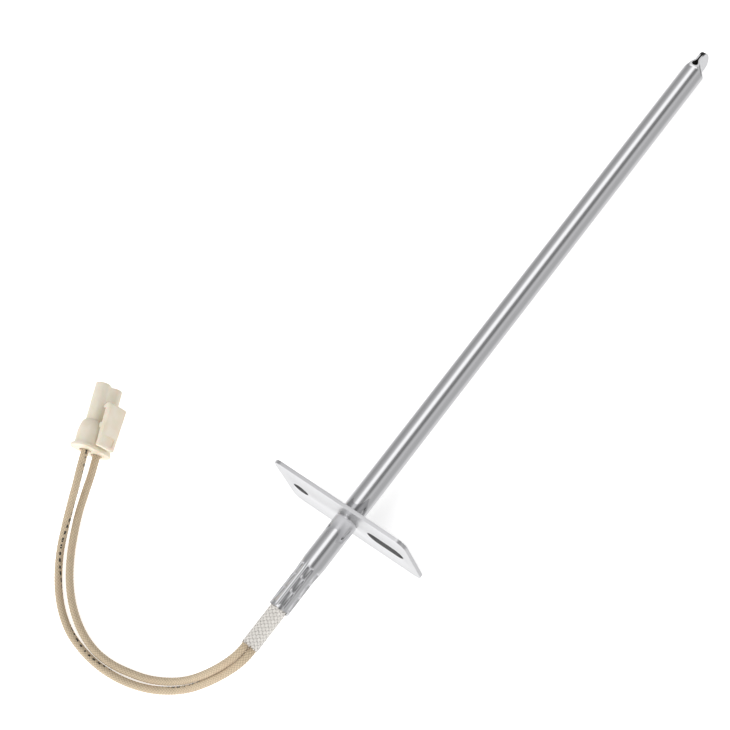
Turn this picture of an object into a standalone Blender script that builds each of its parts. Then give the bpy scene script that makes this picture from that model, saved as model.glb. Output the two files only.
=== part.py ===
"""Oven temperature sensor probe: a platinum element in a stainless sheath with a two-hole flange,
two braided leads and a two-way latching plug.

The whole part lies on a surface at z = 0, resting on the flange's long edge and on the tip, with the
probe along +Y, so it slopes down towards the tip. The leads come off the sleeve, sink to the surface
and run round to the plug, which lies on it.

Three frames hold the pieces. "probe" has its origin at the centre of the flange's rear face, +Y towards
the tip. "lead_pair" is the probe frame rolled about its length, so that its X joins the two leads.
"plug" stands on the centre of the plug's rear face, +Z towards the mating end, +X towards lead a.
"""

from math import atan, ceil, cos, pi, radians, sin

import bmesh
import bpy
from mathutils import Matrix, Vector

MM = 0.001

# Fits
FACE_GAP = 0.3 * MM
BORE_GAP = 0.1 * MM

# Sheath
TUBE_RADIUS = 3.175 * MM
TUBE_WALL = 0.5 * MM
REAR_TUBE_SWELL = 0.05 * MM
PROBE_LENGTH = 165.0 * MM
REAR_LENGTH = 28.6 * MM
NECK_DEPTH = 0.22 * MM
NECK_LENGTH = 0.5 * MM
SHEATH_SEGMENTS = 48

# Pinched tip
PINCH_LENGTH = 6.7 * MM
PINCH_BLEND = 3.0 * MM
LIP_HALF_THICKNESS = 0.72 * MM
LIP_HALF_HEIGHT = 3.0 * MM
LIP_POINT_LENGTH = 2.5 * MM

# Crimp at the sheath's rear
CRIMP_RADIUS = 2.82 * MM
CRIMP_SHOULDER = 4.4 * MM
CRIMP_RIM_FLARE = 0.18 * MM
POCKET_DEPTH = 0.36 * MM
POCKET_LENGTH = 3.7 * MM
POCKET_RIB = 0.7 * MM
POCKET_SLOPE = 0.25 * MM
POCKET_ROWS = 6
POCKETS_PER_ROW = 3
RIM_LAND = 1.1 * MM

# Flange
FLANGE_LENGTH = 43.2 * MM
FLANGE_WIDTH = 24.8 * MM
FLANGE_THICKNESS = 1.0 * MM
FLANGE_CORNER = 3.0 * MM
FLANGE_EDGE = 0.12 * MM
HOLE_RADIUS = 2.35 * MM
HOLE_TO_EDGE = 5.9 * MM
SLOT_LENGTH = 11.6 * MM
SLOT_WIDTH = 5.4 * MM
SLOT_TO_EDGE = 3.2 * MM

# Leads and their sleeve
LEAD_RADIUS = 1.0 * MM
LEAD_GAP = 0.1 * MM
LEAD_SQUEEZE = 0.22 * MM
PAIR_ROLL = radians(26.4)
SLEEVE_WALL = 0.16 * MM
SLEEVE_SHOWING = 11.6 * MM
SQUEEZE_BLEND = 2.2 * MM

# Inside the tip
POTTING_LENGTH = 17.0 * MM
POTTING_TO_PINCH = 0.8 * MM
CHIP_LENGTH = 2.3 * MM
CHIP_WIDTH = 2.0 * MM
CHIP_THICKNESS = 0.9 * MM
CHIP_TO_POTTING_END = 5.5 * MM
CHIP_CLEARANCE = 0.2 * MM
WIRE_SPREAD_SHARE = 0.9
INSULATOR_LENGTH = 16.0 * MM
ELEMENT_WIRE_RADIUS = 0.125 * MM
CONDUCTOR_RADIUS = 0.4 * MM
BARREL_WALL = 0.14 * MM
BARREL_LENGTH = 5.0 * MM
BARREL_TO_INSULATOR_END = 2.5 * MM

# Plug
PLUG_PITCH = 4.5 * MM
PLUG_LENGTH = 19.5 * MM
SILO_GAP = 0.12 * MM
SILO_CHAMFER = 0.2 * MM
PLUG_BORE = 1.5 * MM
REAR_BODY_RADIUS = 3.5 * MM
REAR_BODY_LENGTH = 8.4 * MM
DOME_LENGTH = 4.6 * MM
WEB_THICKNESS = 3.7 * MM
WEB_SETBACK = 0.3 * MM
RIM_THICKNESS = 0.8 * MM
RIM_OVERHANG = 0.7 * MM
RIM_CORNER = 2.8 * MM
TERMINAL_REAR = 1.6 * MM
TERMINAL_SETBACK = 0.9 * MM
TERMINAL_WALL = 0.15 * MM
LEAD_IN_PLUG = 3.4 * MM
SOCKET_RADIUS = 1.2 * MM
WAIST_RADIUS = 0.7 * MM
INSULATION_GRIP_LENGTH = 3.0 * MM
CONDUCTOR_GRIP_LENGTH = 2.6 * MM

# Latch arm on the plug's side
LATCH_WIDTH = 6.2 * MM
LATCH_THICKNESS = 1.1 * MM
LATCH_STANDOFF = 0.9 * MM
LATCH_REAR = 0.9 * MM
LATCH_FRONT = 13.6 * MM
LATCH_PIVOT = 7.0 * MM
LATCH_HOOK_LENGTH = 1.5 * MM
LATCH_HOOK_DEPTH = 1.0 * MM
LATCH_POST_LENGTH = 1.6 * MM
LATCH_RISE = 0.9 * MM
LATCH_EDGE = 0.25 * MM

# Where the plug lies, measured from below the sleeve's mouth
PLUG_X = -77.12 * MM
PLUG_Y = 17.07 * MM
PLUG_HEADING = radians(115.0)
PLUG_ROLL = radians(68.0)

# Routes of the free leads, from the sleeve's mouth to inside the plug, in millimetres from below the mouth.
# They leave along the sleeve, sink to the surface, run round on it and climb into the plug. Each point is
# the side of the lead that faces the other lead, at the height of the lead's underside.
LEAD_A_ROUTE = (
    (-0.06, -0.29, 13.34),
    (-0.10, -2.00, 13.40),
    (-0.82, -4.58, 12.80),
    (-2.43, -7.42, 11.40),
    (-4.75, -10.42, 9.40),
    (-8.18, -13.94, 6.50),
    (-12.19, -17.27, 3.60),
    (-16.81, -20.31, 1.50),
    (-21.90, -22.96, 0.40),
    (-27.46, -24.91, 0.05),
    (-33.21, -25.98, 0.05),
    (-39.06, -26.18, 0.05),
    (-44.81, -25.49, 0.05),
    (-50.43, -23.95, 0.05),
    (-55.56, -21.24, 0.05),
    (-60.12, -17.64, 0.05),
    (-64.11, -13.26, 0.20),
    (-67.32, -8.40, 0.80),
    (-69.57, -3.22, 2.00),
    (-71.35, 2.13, 3.70),
    (-72.85, 7.14, 5.30),
    (-74.52, 11.59, 6.30),
    (-75.70, 14.38, 6.62),
    (-76.96, 17.14, 6.67),
    (-78.42, 20.22, 6.67),
)
LEAD_B_ROUTE = (
    (0.06, -0.32, 14.27),
    (-0.04, -2.27, 14.30),
    (-0.94, -5.20, 13.67),
    (-2.79, -8.38, 12.25),
    (-5.30, -11.44, 10.18),
    (-8.69, -14.61, 7.26),
    (-12.83, -17.66, 4.13),
    (-17.56, -20.46, 1.89),
    (-22.96, -22.94, 0.57),
    (-28.66, -24.65, 0.10),
    (-34.61, -25.77, 0.05),
    (-40.82, -25.77, 0.05),
    (-46.83, -24.32, 0.05),
    (-52.40, -21.74, 0.05),
    (-57.43, -18.25, 0.05),
    (-61.84, -14.05, 0.05),
    (-65.62, -9.25, 0.10),
    (-68.78, -4.05, 0.35),
    (-71.42, 1.44, 0.90),
    (-73.35, 6.85, 1.60),
    (-74.89, 11.64, 2.25),
    (-76.00, 14.31, 2.46),
    (-77.27, 17.01, 2.50),
    (-78.71, 20.09, 2.50),
)
CORD_SAMPLE = 2.5 * 2 * LEAD_RADIUS
ROUTE_STEPS = 16
HELD_SHARE = 0.2
LOOSE_SHARE = 0.5
SURFACE_GAP = 0.05 * MM

# Sizes that follow from the ones above
FULL_TUBE_END = PROBE_LENGTH - PINCH_LENGTH
REAR_TUBE_RADIUS = TUBE_RADIUS + REAR_TUBE_SWELL
POCKET_STACK = POCKETS_PER_ROW * POCKET_LENGTH + (POCKETS_PER_ROW - 1) * POCKET_RIB
CRIMP_FRONT = -REAR_LENGTH + RIM_LAND + POCKET_STACK + 2 * POCKET_RIB
CRIMP_WIDENS = CRIMP_FRONT - CRIMP_SHOULDER
HOLE_OFFSET = FLANGE_LENGTH / 2 - HOLE_TO_EDGE
SLOT_OFFSET = FLANGE_LENGTH / 2 - SLOT_TO_EDGE - SLOT_LENGTH / 2
LEAD_OFFSET = LEAD_RADIUS + LEAD_GAP / 2
SQUEEZED_LEAD_RADIUS = LEAD_RADIUS - LEAD_SQUEEZE
SQUEEZED_LEAD_OFFSET = SQUEEZED_LEAD_RADIUS + LEAD_GAP / 2
TILT = atan((FLANGE_WIDTH / 2 - TUBE_RADIUS) / (FULL_TUBE_END - FLANGE_THICKNESS))
SLEEVE_MOUTH = -REAR_LENGTH - SLEEVE_SHOWING
TUBE_BORE = TUBE_RADIUS - TUBE_WALL
NECK_RADIUS = TUBE_RADIUS - NECK_DEPTH
FLANGE_BORE = NECK_RADIUS + BORE_GAP
POCKET_FLOOR = CRIMP_RADIUS - POCKET_DEPTH
SLEEVE_BORE = LEAD_OFFSET + LEAD_RADIUS + BORE_GAP
SQUEEZED_SLEEVE_BORE = SQUEEZED_LEAD_OFFSET + SQUEEZED_LEAD_RADIUS + BORE_GAP / 2
POTTING_RADIUS = TUBE_BORE - BORE_GAP
POTTING_FRONT = FULL_TUBE_END - POTTING_TO_PINCH
POTTING_REAR = POTTING_FRONT - POTTING_LENGTH
CHIP_FRONT = POTTING_FRONT - CHIP_TO_POTTING_END
CHIP_REAR = CHIP_FRONT - CHIP_LENGTH
INSULATOR_FRONT = POTTING_REAR - FACE_GAP
INSULATOR_REAR = INSULATOR_FRONT - INSULATOR_LENGTH
BARREL_FRONT = INSULATOR_FRONT - BARREL_TO_INSULATOR_END
BARREL_REAR = BARREL_FRONT - BARREL_LENGTH
BARREL_MIDDLE = (BARREL_FRONT + BARREL_REAR) / 2
BARREL_BORE = CONDUCTOR_RADIUS + BORE_GAP
BARREL_RADIUS = BARREL_BORE + BARREL_WALL
HELD_LEAD_END = INSULATOR_REAR - FACE_GAP
SLEEVE_INNER_END = HELD_LEAD_END - 2 * LEAD_RADIUS
SILO_RADIUS = (PLUG_PITCH - SILO_GAP) / 2
PLUG_HEIGHT = REAR_BODY_RADIUS + PLUG_PITCH / 2 * sin(PLUG_ROLL)
LEAD_SIDES = (("a", 1), ("b", -1))

STEEL = ("stainless_steel", (0.60, 0.60, 0.61), 0.22, 1.0)
SATIN_STEEL = ("satin_steel", (0.66, 0.66, 0.67), 0.34, 1.0)
WHITE_BRAID = ("white_fibreglass", (0.86, 0.84, 0.79), 0.85, 0.0)
BEIGE_BRAID = ("beige_braid", (0.72, 0.62, 0.47), 0.82, 0.0)
NYLON = ("ivory_nylon", (0.88, 0.83, 0.70), 0.42, 0.0)
NICKEL = ("nickel", (0.55, 0.53, 0.50), 0.30, 1.0)
TINNED_BRASS = ("tinned_brass", (0.70, 0.66, 0.55), 0.32, 1.0)
CERAMIC = ("alumina_ceramic", (0.90, 0.89, 0.85), 0.60, 0.0)
CEMENT = ("ceramic_cement", (0.78, 0.76, 0.72), 0.92, 0.0)

ALONG_Y = Matrix.Rotation(-pi / 2, 4, "X")
PLATE_ACROSS_Y = Matrix.Rotation(pi / 2, 4, "X")
FLAT_TO_YZ = Matrix(((0, 0, 1, 0), (1, 0, 0, 0), (0, 1, 0, 0), (0, 0, 0, 1)))


# ---------------------------------------------------------------- scene and helpers


def clear_scene():
    for obj in list(bpy.data.objects):
        bpy.data.objects.remove(obj, do_unlink=True)


def new_collection(name):
    collection = bpy.data.collections.new(name)
    bpy.context.scene.collection.children.link(collection)
    return collection


def finish_material(finish):
    name, colour, roughness, metallic = finish
    found = bpy.data.materials.get(name)
    if found:
        return found
    material = bpy.data.materials.new(name)
    material.use_nodes = True
    shader = material.node_tree.nodes["Principled BSDF"]
    shader.inputs["Base Color"].default_value = (*colour, 1.0)
    shader.inputs["Roughness"].default_value = roughness
    shader.inputs["Metallic"].default_value = metallic
    material.diffuse_color = (*colour, 1.0)
    return material


def add_frame(name, matrix, parent=None):
    frame = bpy.data.objects.new(name, None)
    PARTS.objects.link(frame)
    frame.parent = parent
    frame.matrix_local = matrix
    return frame


def add_piece(name, data, parent, finish, matrix=None):
    piece = bpy.data.objects.new(name, data)
    PARTS.objects.link(piece)
    piece.parent = parent
    piece.matrix_local = matrix or Matrix.Identity(4)
    data.materials.append(finish_material(finish))
    return piece


def add_cutter(name, mesh, parent, matrix=None):
    cutter = bpy.data.objects.new(name, mesh)
    CUTTERS.objects.link(cutter)
    cutter.parent = parent
    cutter.matrix_local = matrix or Matrix.Identity(4)
    cutter.display_type = "WIRE"
    cutter.hide_render = True
    return cutter


def boolean(piece, other, operation):
    modifier = piece.modifiers.new(other.name, "BOOLEAN")
    modifier.operation = operation
    modifier.object = other
    modifier.solver = "EXACT"


def shade_round(mesh):
    mesh.shade_smooth()
    mesh.set_sharp_from_angle(angle=radians(35))


def box_mesh(name, size, centre):
    mesh = bpy.data.meshes.new(name)
    shape = bmesh.new()
    bmesh.ops.create_cube(shape, size=1.0)
    bmesh.ops.scale(shape, vec=size, verts=shape.verts)
    bmesh.ops.translate(shape, vec=centre, verts=shape.verts)
    shape.to_mesh(mesh)
    shape.free()
    return mesh


def bevel_edges(piece, width, segments=2):
    modifier = piece.modifiers.new("edge", "BEVEL")
    modifier.width = width
    modifier.segments = segments
    modifier.limit_method = "ANGLE"
    modifier.angle_limit = radians(40)


def turned_mesh(name, profile, steps):
    """A closed turned shape about Z. The profile holds (radius, height) points and runs down the outer side."""
    mesh = bpy.data.meshes.new(name)
    closed = profile[0][0] > 0
    shape = bmesh.new()
    points = [shape.verts.new((radius, 0, height)) for radius, height in profile]
    for first, second in zip(points, points[1:] + points[:1] if closed else points[1:]):
        shape.edges.new((first, second))
    shape.to_mesh(mesh)
    shape.free()
    guide = bpy.data.objects.new(name, mesh)
    CUTTERS.objects.link(guide)
    screw = guide.modifiers.new("turn", "SCREW")
    screw.steps = steps
    screw.render_steps = steps
    screw.use_merge_vertices = True
    screw.merge_threshold = 0.00001
    turned = evaluated_mesh(guide)
    turned.name = name
    bpy.data.objects.remove(guide)
    shade_round(turned)
    return turned


def evaluated_mesh(source):
    """The plain mesh of a curve or of an object with modifiers, its loose caps joined on."""
    bpy.context.view_layer.update()
    graph = bpy.context.evaluated_depsgraph_get()
    mesh = bpy.data.meshes.new_from_object(source.evaluated_get(graph))
    shape = bmesh.new()
    shape.from_mesh(mesh)
    bmesh.ops.remove_doubles(shape, verts=shape.verts, dist=0.000001)
    bmesh.ops.recalc_face_normals(shape, faces=shape.faces)
    shape.to_mesh(mesh)
    shape.free()
    return mesh


def plate_mesh(name, outlines, thickness):
    """A flat plate about the XY plane: the first outline is its edge, and each of the others is a hole."""
    curve = bpy.data.curves.new(name, "CURVE")
    curve.dimensions = "2D"
    curve.fill_mode = "BOTH"
    curve.extrude = thickness / 2
    for outline in outlines:
        spline = curve.splines.new("POLY")
        spline.points.add(len(outline) - 1)
        for point, (x, y) in zip(spline.points, outline):
            point.co = (x, y, 0, 1)
        spline.use_cyclic_u = True
    guide = bpy.data.objects.new(name, curve)
    CUTTERS.objects.link(guide)
    mesh = evaluated_mesh(guide)
    mesh.name = name
    bpy.data.objects.remove(guide)
    return mesh


def tube_curve(name, points, radius, radii=None):
    """A round wire along the points. Each radius in radii is that point's share of the full radius."""
    curve = bpy.data.curves.new(name, "CURVE")
    curve.dimensions = "3D"
    curve.bevel_depth = radius
    curve.bevel_resolution = 2
    curve.use_fill_caps = True
    spline = curve.splines.new("POLY")
    spline.points.add(len(points) - 1)
    for index, place in enumerate(points):
        spline.points[index].co = (*place, 1)
        spline.points[index].radius = radii[index] if radii else 1.0
    return curve


def arc(centre, radius, start, end, steps):
    """Points on a circle from one angle to another, both in degrees."""
    angles = [radians(start + (end - start) * k / steps) for k in range(steps + 1)]
    return [(centre[0] + radius * cos(a), centre[1] + radius * sin(a)) for a in angles]


def circle(centre, radius, steps):
    return arc(centre, radius, 0, 360, steps)[:-1]


def rounded_rectangle(length, width, corner, steps=6):
    x = length / 2 - corner
    y = width / 2 - corner
    return (
        arc((x, y), corner, 0, 90, steps)
        + arc((-x, y), corner, 90, 180, steps)
        + arc((-x, -y), corner, 180, 270, steps)
        + arc((x, -y), corner, 270, 360, steps)
    )


def obround(centre, length, width, steps=10):
    radius = width / 2
    reach = length / 2 - radius
    x, y = centre
    return arc((x + reach, y), radius, -90, 90, steps) + arc((x - reach, y), radius, 90, 270, steps)


def smooth_route(places, spacing):
    """Points about a spacing apart on one smooth curve through the places."""
    knots = [2 * places[0] - places[1]] + places + [2 * places[-1] - places[-2]]
    fine = []
    for before, start, end, after in zip(knots, knots[1:], knots[2:], knots[3:]):
        for k in range(ROUTE_STEPS):
            t = k / ROUTE_STEPS
            fine.append(
                0.5
                * (
                    2 * start
                    + (end - before) * t
                    + (2 * before - 5 * start + 4 * end - after) * t**2
                    + (3 * start - before - 3 * end + after) * t**3
                )
            )
    fine.append(knots[-2])
    lengths = [0.0]
    for first, second in zip(fine, fine[1:]):
        lengths.append(lengths[-1] + (second - first).length)
    count = ceil(lengths[-1] / spacing)
    spaced = []
    at = 0
    for k in range(count + 1):
        target = lengths[-1] * k / count
        while at < len(fine) - 2 and lengths[at + 1] < target:
            at += 1
        share = (target - lengths[at]) / (lengths[at + 1] - lengths[at])
        spaced.append(fine[at].lerp(fine[at + 1], share))
    return spaced


# ---------------------------------------------------------------- sheath


def flattened_section(half_thickness, perimeter_radius, wall):
    """A tube's section squeezed to a half thickness along X with its perimeter kept, drawn a wall further in."""
    straight = pi / 2 * (perimeter_radius - half_thickness)
    bend = half_thickness * pi / 2
    quarter = straight + bend
    radius = half_thickness - wall
    points = []
    for k in range(SHEATH_SEGMENTS):
        around = (pi / 2 - PAIR_ROLL + 2 * pi * k / SHEATH_SEGMENTS) % (2 * pi)
        side = int(around // (pi / 2))
        run = (around % (pi / 2)) / (pi / 2) * quarter
        if side % 2:
            run = quarter - run
        if run < straight:
            x, z = radius, run
        else:
            turn = (run - straight) / half_thickness
            x, z = radius * cos(turn), straight + radius * sin(turn)
        points.append((-x if side in (1, 2) else x, -z if side in (2, 3) else z))
    return points


def round_section(radius):
    return flattened_section(radius, radius, 0)


def pocketed_section(lobe, floor):
    """A round section with a pocket in each row: three points of each row sit at the floor radius."""
    each_row = SHEATH_SEGMENTS // POCKET_ROWS
    points = []
    for k, (x, z) in enumerate(round_section(1.0)):
        from_row = min(k % each_row, each_row - k % each_row)
        radius = floor if from_row <= 1 else lobe
        points.append((x * radius, z * radius))
    return points


def sheath_stations():
    """(y, outer section, inner section) from the crimped rim to the pinched tip."""
    wall = TUBE_WALL
    rim = -REAR_LENGTH
    stations = [
        (rim, round_section(CRIMP_RADIUS + CRIMP_RIM_FLARE), round_section(CRIMP_RADIUS + CRIMP_RIM_FLARE - wall)),
    ]
    for pocket in range(POCKETS_PER_ROW):
        start = rim + RIM_LAND + pocket * (POCKET_LENGTH + POCKET_RIB)
        end = start + POCKET_LENGTH
        past_shoulder = max(0.0, end - CRIMP_WIDENS) / CRIMP_SHOULDER
        lobe = CRIMP_RADIUS + (REAR_TUBE_RADIUS - CRIMP_RADIUS) * min(1.0, past_shoulder)
        plain = round_section(CRIMP_RADIUS)
        inner = round_section(CRIMP_RADIUS - wall)
        deep = pocketed_section(CRIMP_RADIUS, POCKET_FLOOR)
        deep_inner = pocketed_section(CRIMP_RADIUS - wall, POCKET_FLOOR - wall)
        stations += [(start, plain, inner), (start + POCKET_SLOPE, deep, deep_inner)]
        stations += [
            (end - POCKET_SLOPE, pocketed_section(lobe, POCKET_FLOOR), deep_inner),
            (end, round_section(lobe), round_section(lobe - wall)),
        ]
    neck_start = -NECK_LENGTH
    neck_end = FLANGE_THICKNESS + BORE_GAP
    for y, radius in (
        (CRIMP_FRONT, REAR_TUBE_RADIUS),
        (neck_start, REAR_TUBE_RADIUS),
        (neck_start + NECK_DEPTH, NECK_RADIUS),
        (neck_end, NECK_RADIUS),
        (neck_end + BORE_GAP, TUBE_RADIUS),
        (FULL_TUBE_END, TUBE_RADIUS),
    ):
        stations.append((y, round_section(radius), round_section(radius - wall)))
    squeeze_steps = 6
    for step in range(1, squeeze_steps + 1):
        share = step / squeeze_steps
        eased = 1 - (1 - share) ** 1.7
        half_thickness = TUBE_RADIUS + (LIP_HALF_THICKNESS - TUBE_RADIUS) * eased
        y = FULL_TUBE_END + PINCH_BLEND * share
        stations.append(
            (
                y,
                flattened_section(half_thickness, TUBE_RADIUS, 0),
                flattened_section(half_thickness, TUBE_RADIUS, wall),
            )
        )
    flat = flattened_section(LIP_HALF_THICKNESS, TUBE_RADIUS, 0)
    flat_inner = flattened_section(LIP_HALF_THICKNESS, TUBE_RADIUS, wall)
    stations.append((PROBE_LENGTH, flat, flat_inner))
    return stations


def sheath_mesh():
    """One skin lofted through the outer sections, one through the inner, and a ring that joins them at each end."""
    mesh = bpy.data.meshes.new("probe_sheath")
    shape = bmesh.new()
    skins = ([], [])
    for y, outer, inner in sheath_stations():
        for skin, section in zip(skins, (outer, inner)):
            skin.append([shape.verts.new((x, y, z)) for x, z in section])
    rings = skins[0] + skins[1][::-1]
    for ring, following in zip(rings, rings[1:] + rings[:1]):
        for k in range(SHEATH_SEGMENTS):
            after = (k + 1) % SHEATH_SEGMENTS
            shape.faces.new((ring[k], ring[after], following[after], following[k]))
    bmesh.ops.recalc_face_normals(shape, faces=shape.faces)
    shape.to_mesh(mesh)
    shape.free()
    shade_round(mesh)
    return mesh


def tip_trim_outline():
    """A horseshoe round the tip in (y, z): what lies inside it, past the lips' outline, is trimmed off."""
    margin = 4 * TUBE_RADIUS
    start = FULL_TUBE_END + POCKET_SLOPE
    point_start = PROBE_LENGTH - LIP_POINT_LENGTH
    steps = 12
    lips = []
    for k in range(steps + 1):
        angle = pi / 2 * (1 - 2 * k / steps)
        lips.append((point_start + LIP_POINT_LENGTH * cos(angle), LIP_HALF_HEIGHT * sin(angle)))
    outer = [
        (start, -margin),
        (PROBE_LENGTH + margin, -margin),
        (PROBE_LENGTH + margin, margin),
        (start, margin),
    ]
    return outer + [(start, TUBE_RADIUS)] + lips + [(start, -TUBE_RADIUS)]


def make_sheath(probe):
    sheath = add_piece("probe_sheath", sheath_mesh(), probe, STEEL)
    trim = plate_mesh("tip_trim", [tip_trim_outline()], 4 * TUBE_RADIUS)
    trim.transform(FLAT_TO_YZ)
    boolean(sheath, add_cutter("tip_trim", trim, probe), "DIFFERENCE")


# ---------------------------------------------------------------- flange, sleeve and held leads


def make_flange(probe):
    outlines = [
        rounded_rectangle(FLANGE_LENGTH, FLANGE_WIDTH, FLANGE_CORNER),
        circle((0, 0), FLANGE_BORE, 40),
        circle((-HOLE_OFFSET, 0), HOLE_RADIUS, 28),
        obround((SLOT_OFFSET, 0), SLOT_LENGTH, SLOT_WIDTH),
    ]
    mesh = plate_mesh("mounting_flange", outlines, FLANGE_THICKNESS)
    place = Matrix.Translation((0, FLANGE_THICKNESS / 2, 0)) @ PLATE_ACROSS_Y
    flange = add_piece("mounting_flange", mesh, probe, SATIN_STEEL, place)
    bevel_edges(flange, FLANGE_EDGE, 1)


def make_sleeve(pair):
    wall = SLEEVE_WALL
    squeeze_end = CRIMP_FRONT - POCKET_RIB
    squeeze_start = -REAR_LENGTH
    inner = [
        (SLEEVE_BORE, SLEEVE_MOUTH),
        (SLEEVE_BORE, squeeze_start - SQUEEZE_BLEND),
        (SQUEEZED_SLEEVE_BORE, squeeze_start),
        (SQUEEZED_SLEEVE_BORE, squeeze_end),
        (SLEEVE_BORE, squeeze_end + SQUEEZE_BLEND),
        (SLEEVE_BORE, SLEEVE_INNER_END),
    ]
    outer = [(radius + wall, y) for radius, y in reversed(inner)]
    mesh = turned_mesh("fibreglass_sleeve", outer + inner, 28)
    add_piece("fibreglass_sleeve", mesh, pair, WHITE_BRAID, ALONG_Y)


def make_held_leads(pair):
    squeeze_end = CRIMP_FRONT - POCKET_RIB
    squeeze_start = -REAR_LENGTH
    narrow = SQUEEZED_LEAD_RADIUS / LEAD_RADIUS
    for side, sign in LEAD_SIDES:
        stations = (
            (SLEEVE_MOUTH, LEAD_OFFSET, 1.0),
            (squeeze_start - SQUEEZE_BLEND, LEAD_OFFSET, 1.0),
            (squeeze_start, SQUEEZED_LEAD_OFFSET, narrow),
            (squeeze_end, SQUEEZED_LEAD_OFFSET, narrow),
            (squeeze_end + SQUEEZE_BLEND, LEAD_OFFSET, 1.0),
            (HELD_LEAD_END, LEAD_OFFSET, 1.0),
        )
        points = [(sign * offset, y, 0) for y, offset, _ in stations]
        radii = [radius for _, _, radius in stations]
        curve = tube_curve(f"lead_{side}_held", points, LEAD_RADIUS, radii)
        add_piece(f"lead_{side}_held", curve, pair, BEIGE_BRAID)


# ---------------------------------------------------------------- inside the tip


def make_potting(pair):
    profile = [
        (0, POTTING_FRONT),
        (POTTING_RADIUS - FACE_GAP, POTTING_FRONT),
        (POTTING_RADIUS, POTTING_FRONT - FACE_GAP),
        (POTTING_RADIUS, POTTING_REAR),
        (0, POTTING_REAR),
    ]
    potting = add_piece("tip_potting", turned_mesh("tip_potting", profile, 24), pair, CEMENT, ALONG_Y)
    pocket_front = CHIP_FRONT + BORE_GAP
    pocket_rear = POTTING_REAR - FACE_GAP
    width = CHIP_WIDTH + 2 * CHIP_CLEARANCE
    thickness = CHIP_THICKNESS + 2 * CHIP_CLEARANCE
    size = (width, pocket_front - pocket_rear, thickness)
    pocket = box_mesh("chip_pocket", size, (0, (pocket_front + pocket_rear) / 2, 0))
    boolean(potting, add_cutter("chip_pocket", pocket, pair), "DIFFERENCE")


def make_chip(pair):
    size = (CHIP_WIDTH, CHIP_LENGTH, CHIP_THICKNESS)
    mesh = box_mesh("sensing_element", size, (0, (CHIP_FRONT + CHIP_REAR) / 2, 0))
    chip = add_piece("sensing_element", mesh, pair, CERAMIC)
    bevel_edges(chip, BORE_GAP, 1)


def make_splices(pair):
    """For each lead: the chip's own wire, the barrel that crimps it to the conductor, and the conductor's end."""
    for side, sign in LEAD_SIDES:
        at_chip = sign * CHIP_WIDTH / 4
        at_splice = sign * LEAD_OFFSET
        wire = (
            (at_chip, CHIP_REAR - BORE_GAP, 0),
            (at_chip, CHIP_REAR - CHIP_LENGTH, 0),
            (at_splice * WIRE_SPREAD_SHARE, POTTING_REAR + CHIP_LENGTH, 0),
            (at_splice, POTTING_REAR, 0),
            (at_splice, BARREL_MIDDLE + FACE_GAP, 0),
        )
        curve = tube_curve(f"element_wire_{side}", wire, ELEMENT_WIRE_RADIUS)
        add_piece(f"element_wire_{side}", curve, pair, NICKEL)
        barrel = [
            (BARREL_RADIUS, BARREL_FRONT),
            (BARREL_RADIUS, BARREL_REAR),
            (BARREL_BORE, BARREL_REAR),
            (BARREL_BORE, BARREL_FRONT),
        ]
        mesh = turned_mesh(f"splice_barrel_{side}", barrel, 12)
        place = Matrix.Translation((at_splice, 0, 0)) @ ALONG_Y
        add_piece(f"splice_barrel_{side}", mesh, pair, TINNED_BRASS, place)
        run = ((at_splice, INSULATOR_REAR, 0), (at_splice, BARREL_MIDDLE, 0))
        curve = tube_curve(f"conductor_{side}_inner", run, CONDUCTOR_RADIUS)
        add_piece(f"conductor_{side}_inner", curve, pair, NICKEL)


def make_insulator(pair):
    profile = [
        (0, INSULATOR_FRONT),
        (POTTING_RADIUS, INSULATOR_FRONT),
        (POTTING_RADIUS, INSULATOR_REAR),
        (0, INSULATOR_REAR),
    ]
    mesh = turned_mesh("splice_insulator", profile, 24)
    insulator = add_piece("splice_insulator", mesh, pair, CERAMIC, ALONG_Y)
    bore = [
        (0, INSULATOR_FRONT + FACE_GAP),
        (BARREL_RADIUS + BORE_GAP, INSULATOR_FRONT + FACE_GAP),
        (BARREL_RADIUS + BORE_GAP, INSULATOR_REAR - FACE_GAP),
        (0, INSULATOR_REAR - FACE_GAP),
    ]
    for side, sign in LEAD_SIDES:
        place = Matrix.Translation((sign * LEAD_OFFSET, 0, 0)) @ ALONG_Y
        cutter = add_cutter(f"insulator_bore_{side}", turned_mesh("insulator_bore", bore, 12), pair, place)
        boolean(insulator, cutter, "DIFFERENCE")


# ---------------------------------------------------------------- plug


def dome_profile():
    """(radius, height) up the rear body's side: straight, then a quarter ellipse in to the silo."""
    straight = REAR_BODY_LENGTH - DOME_LENGTH
    inset = REAR_BODY_RADIUS - SILO_RADIUS
    steps = 5
    points = [(REAR_BODY_RADIUS, 0.0)]
    for k in range(steps + 1):
        angle = pi / 2 * k / steps
        points.append((SILO_RADIUS + inset * cos(angle), straight + DOME_LENGTH * sin(angle)))
    return points


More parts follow.
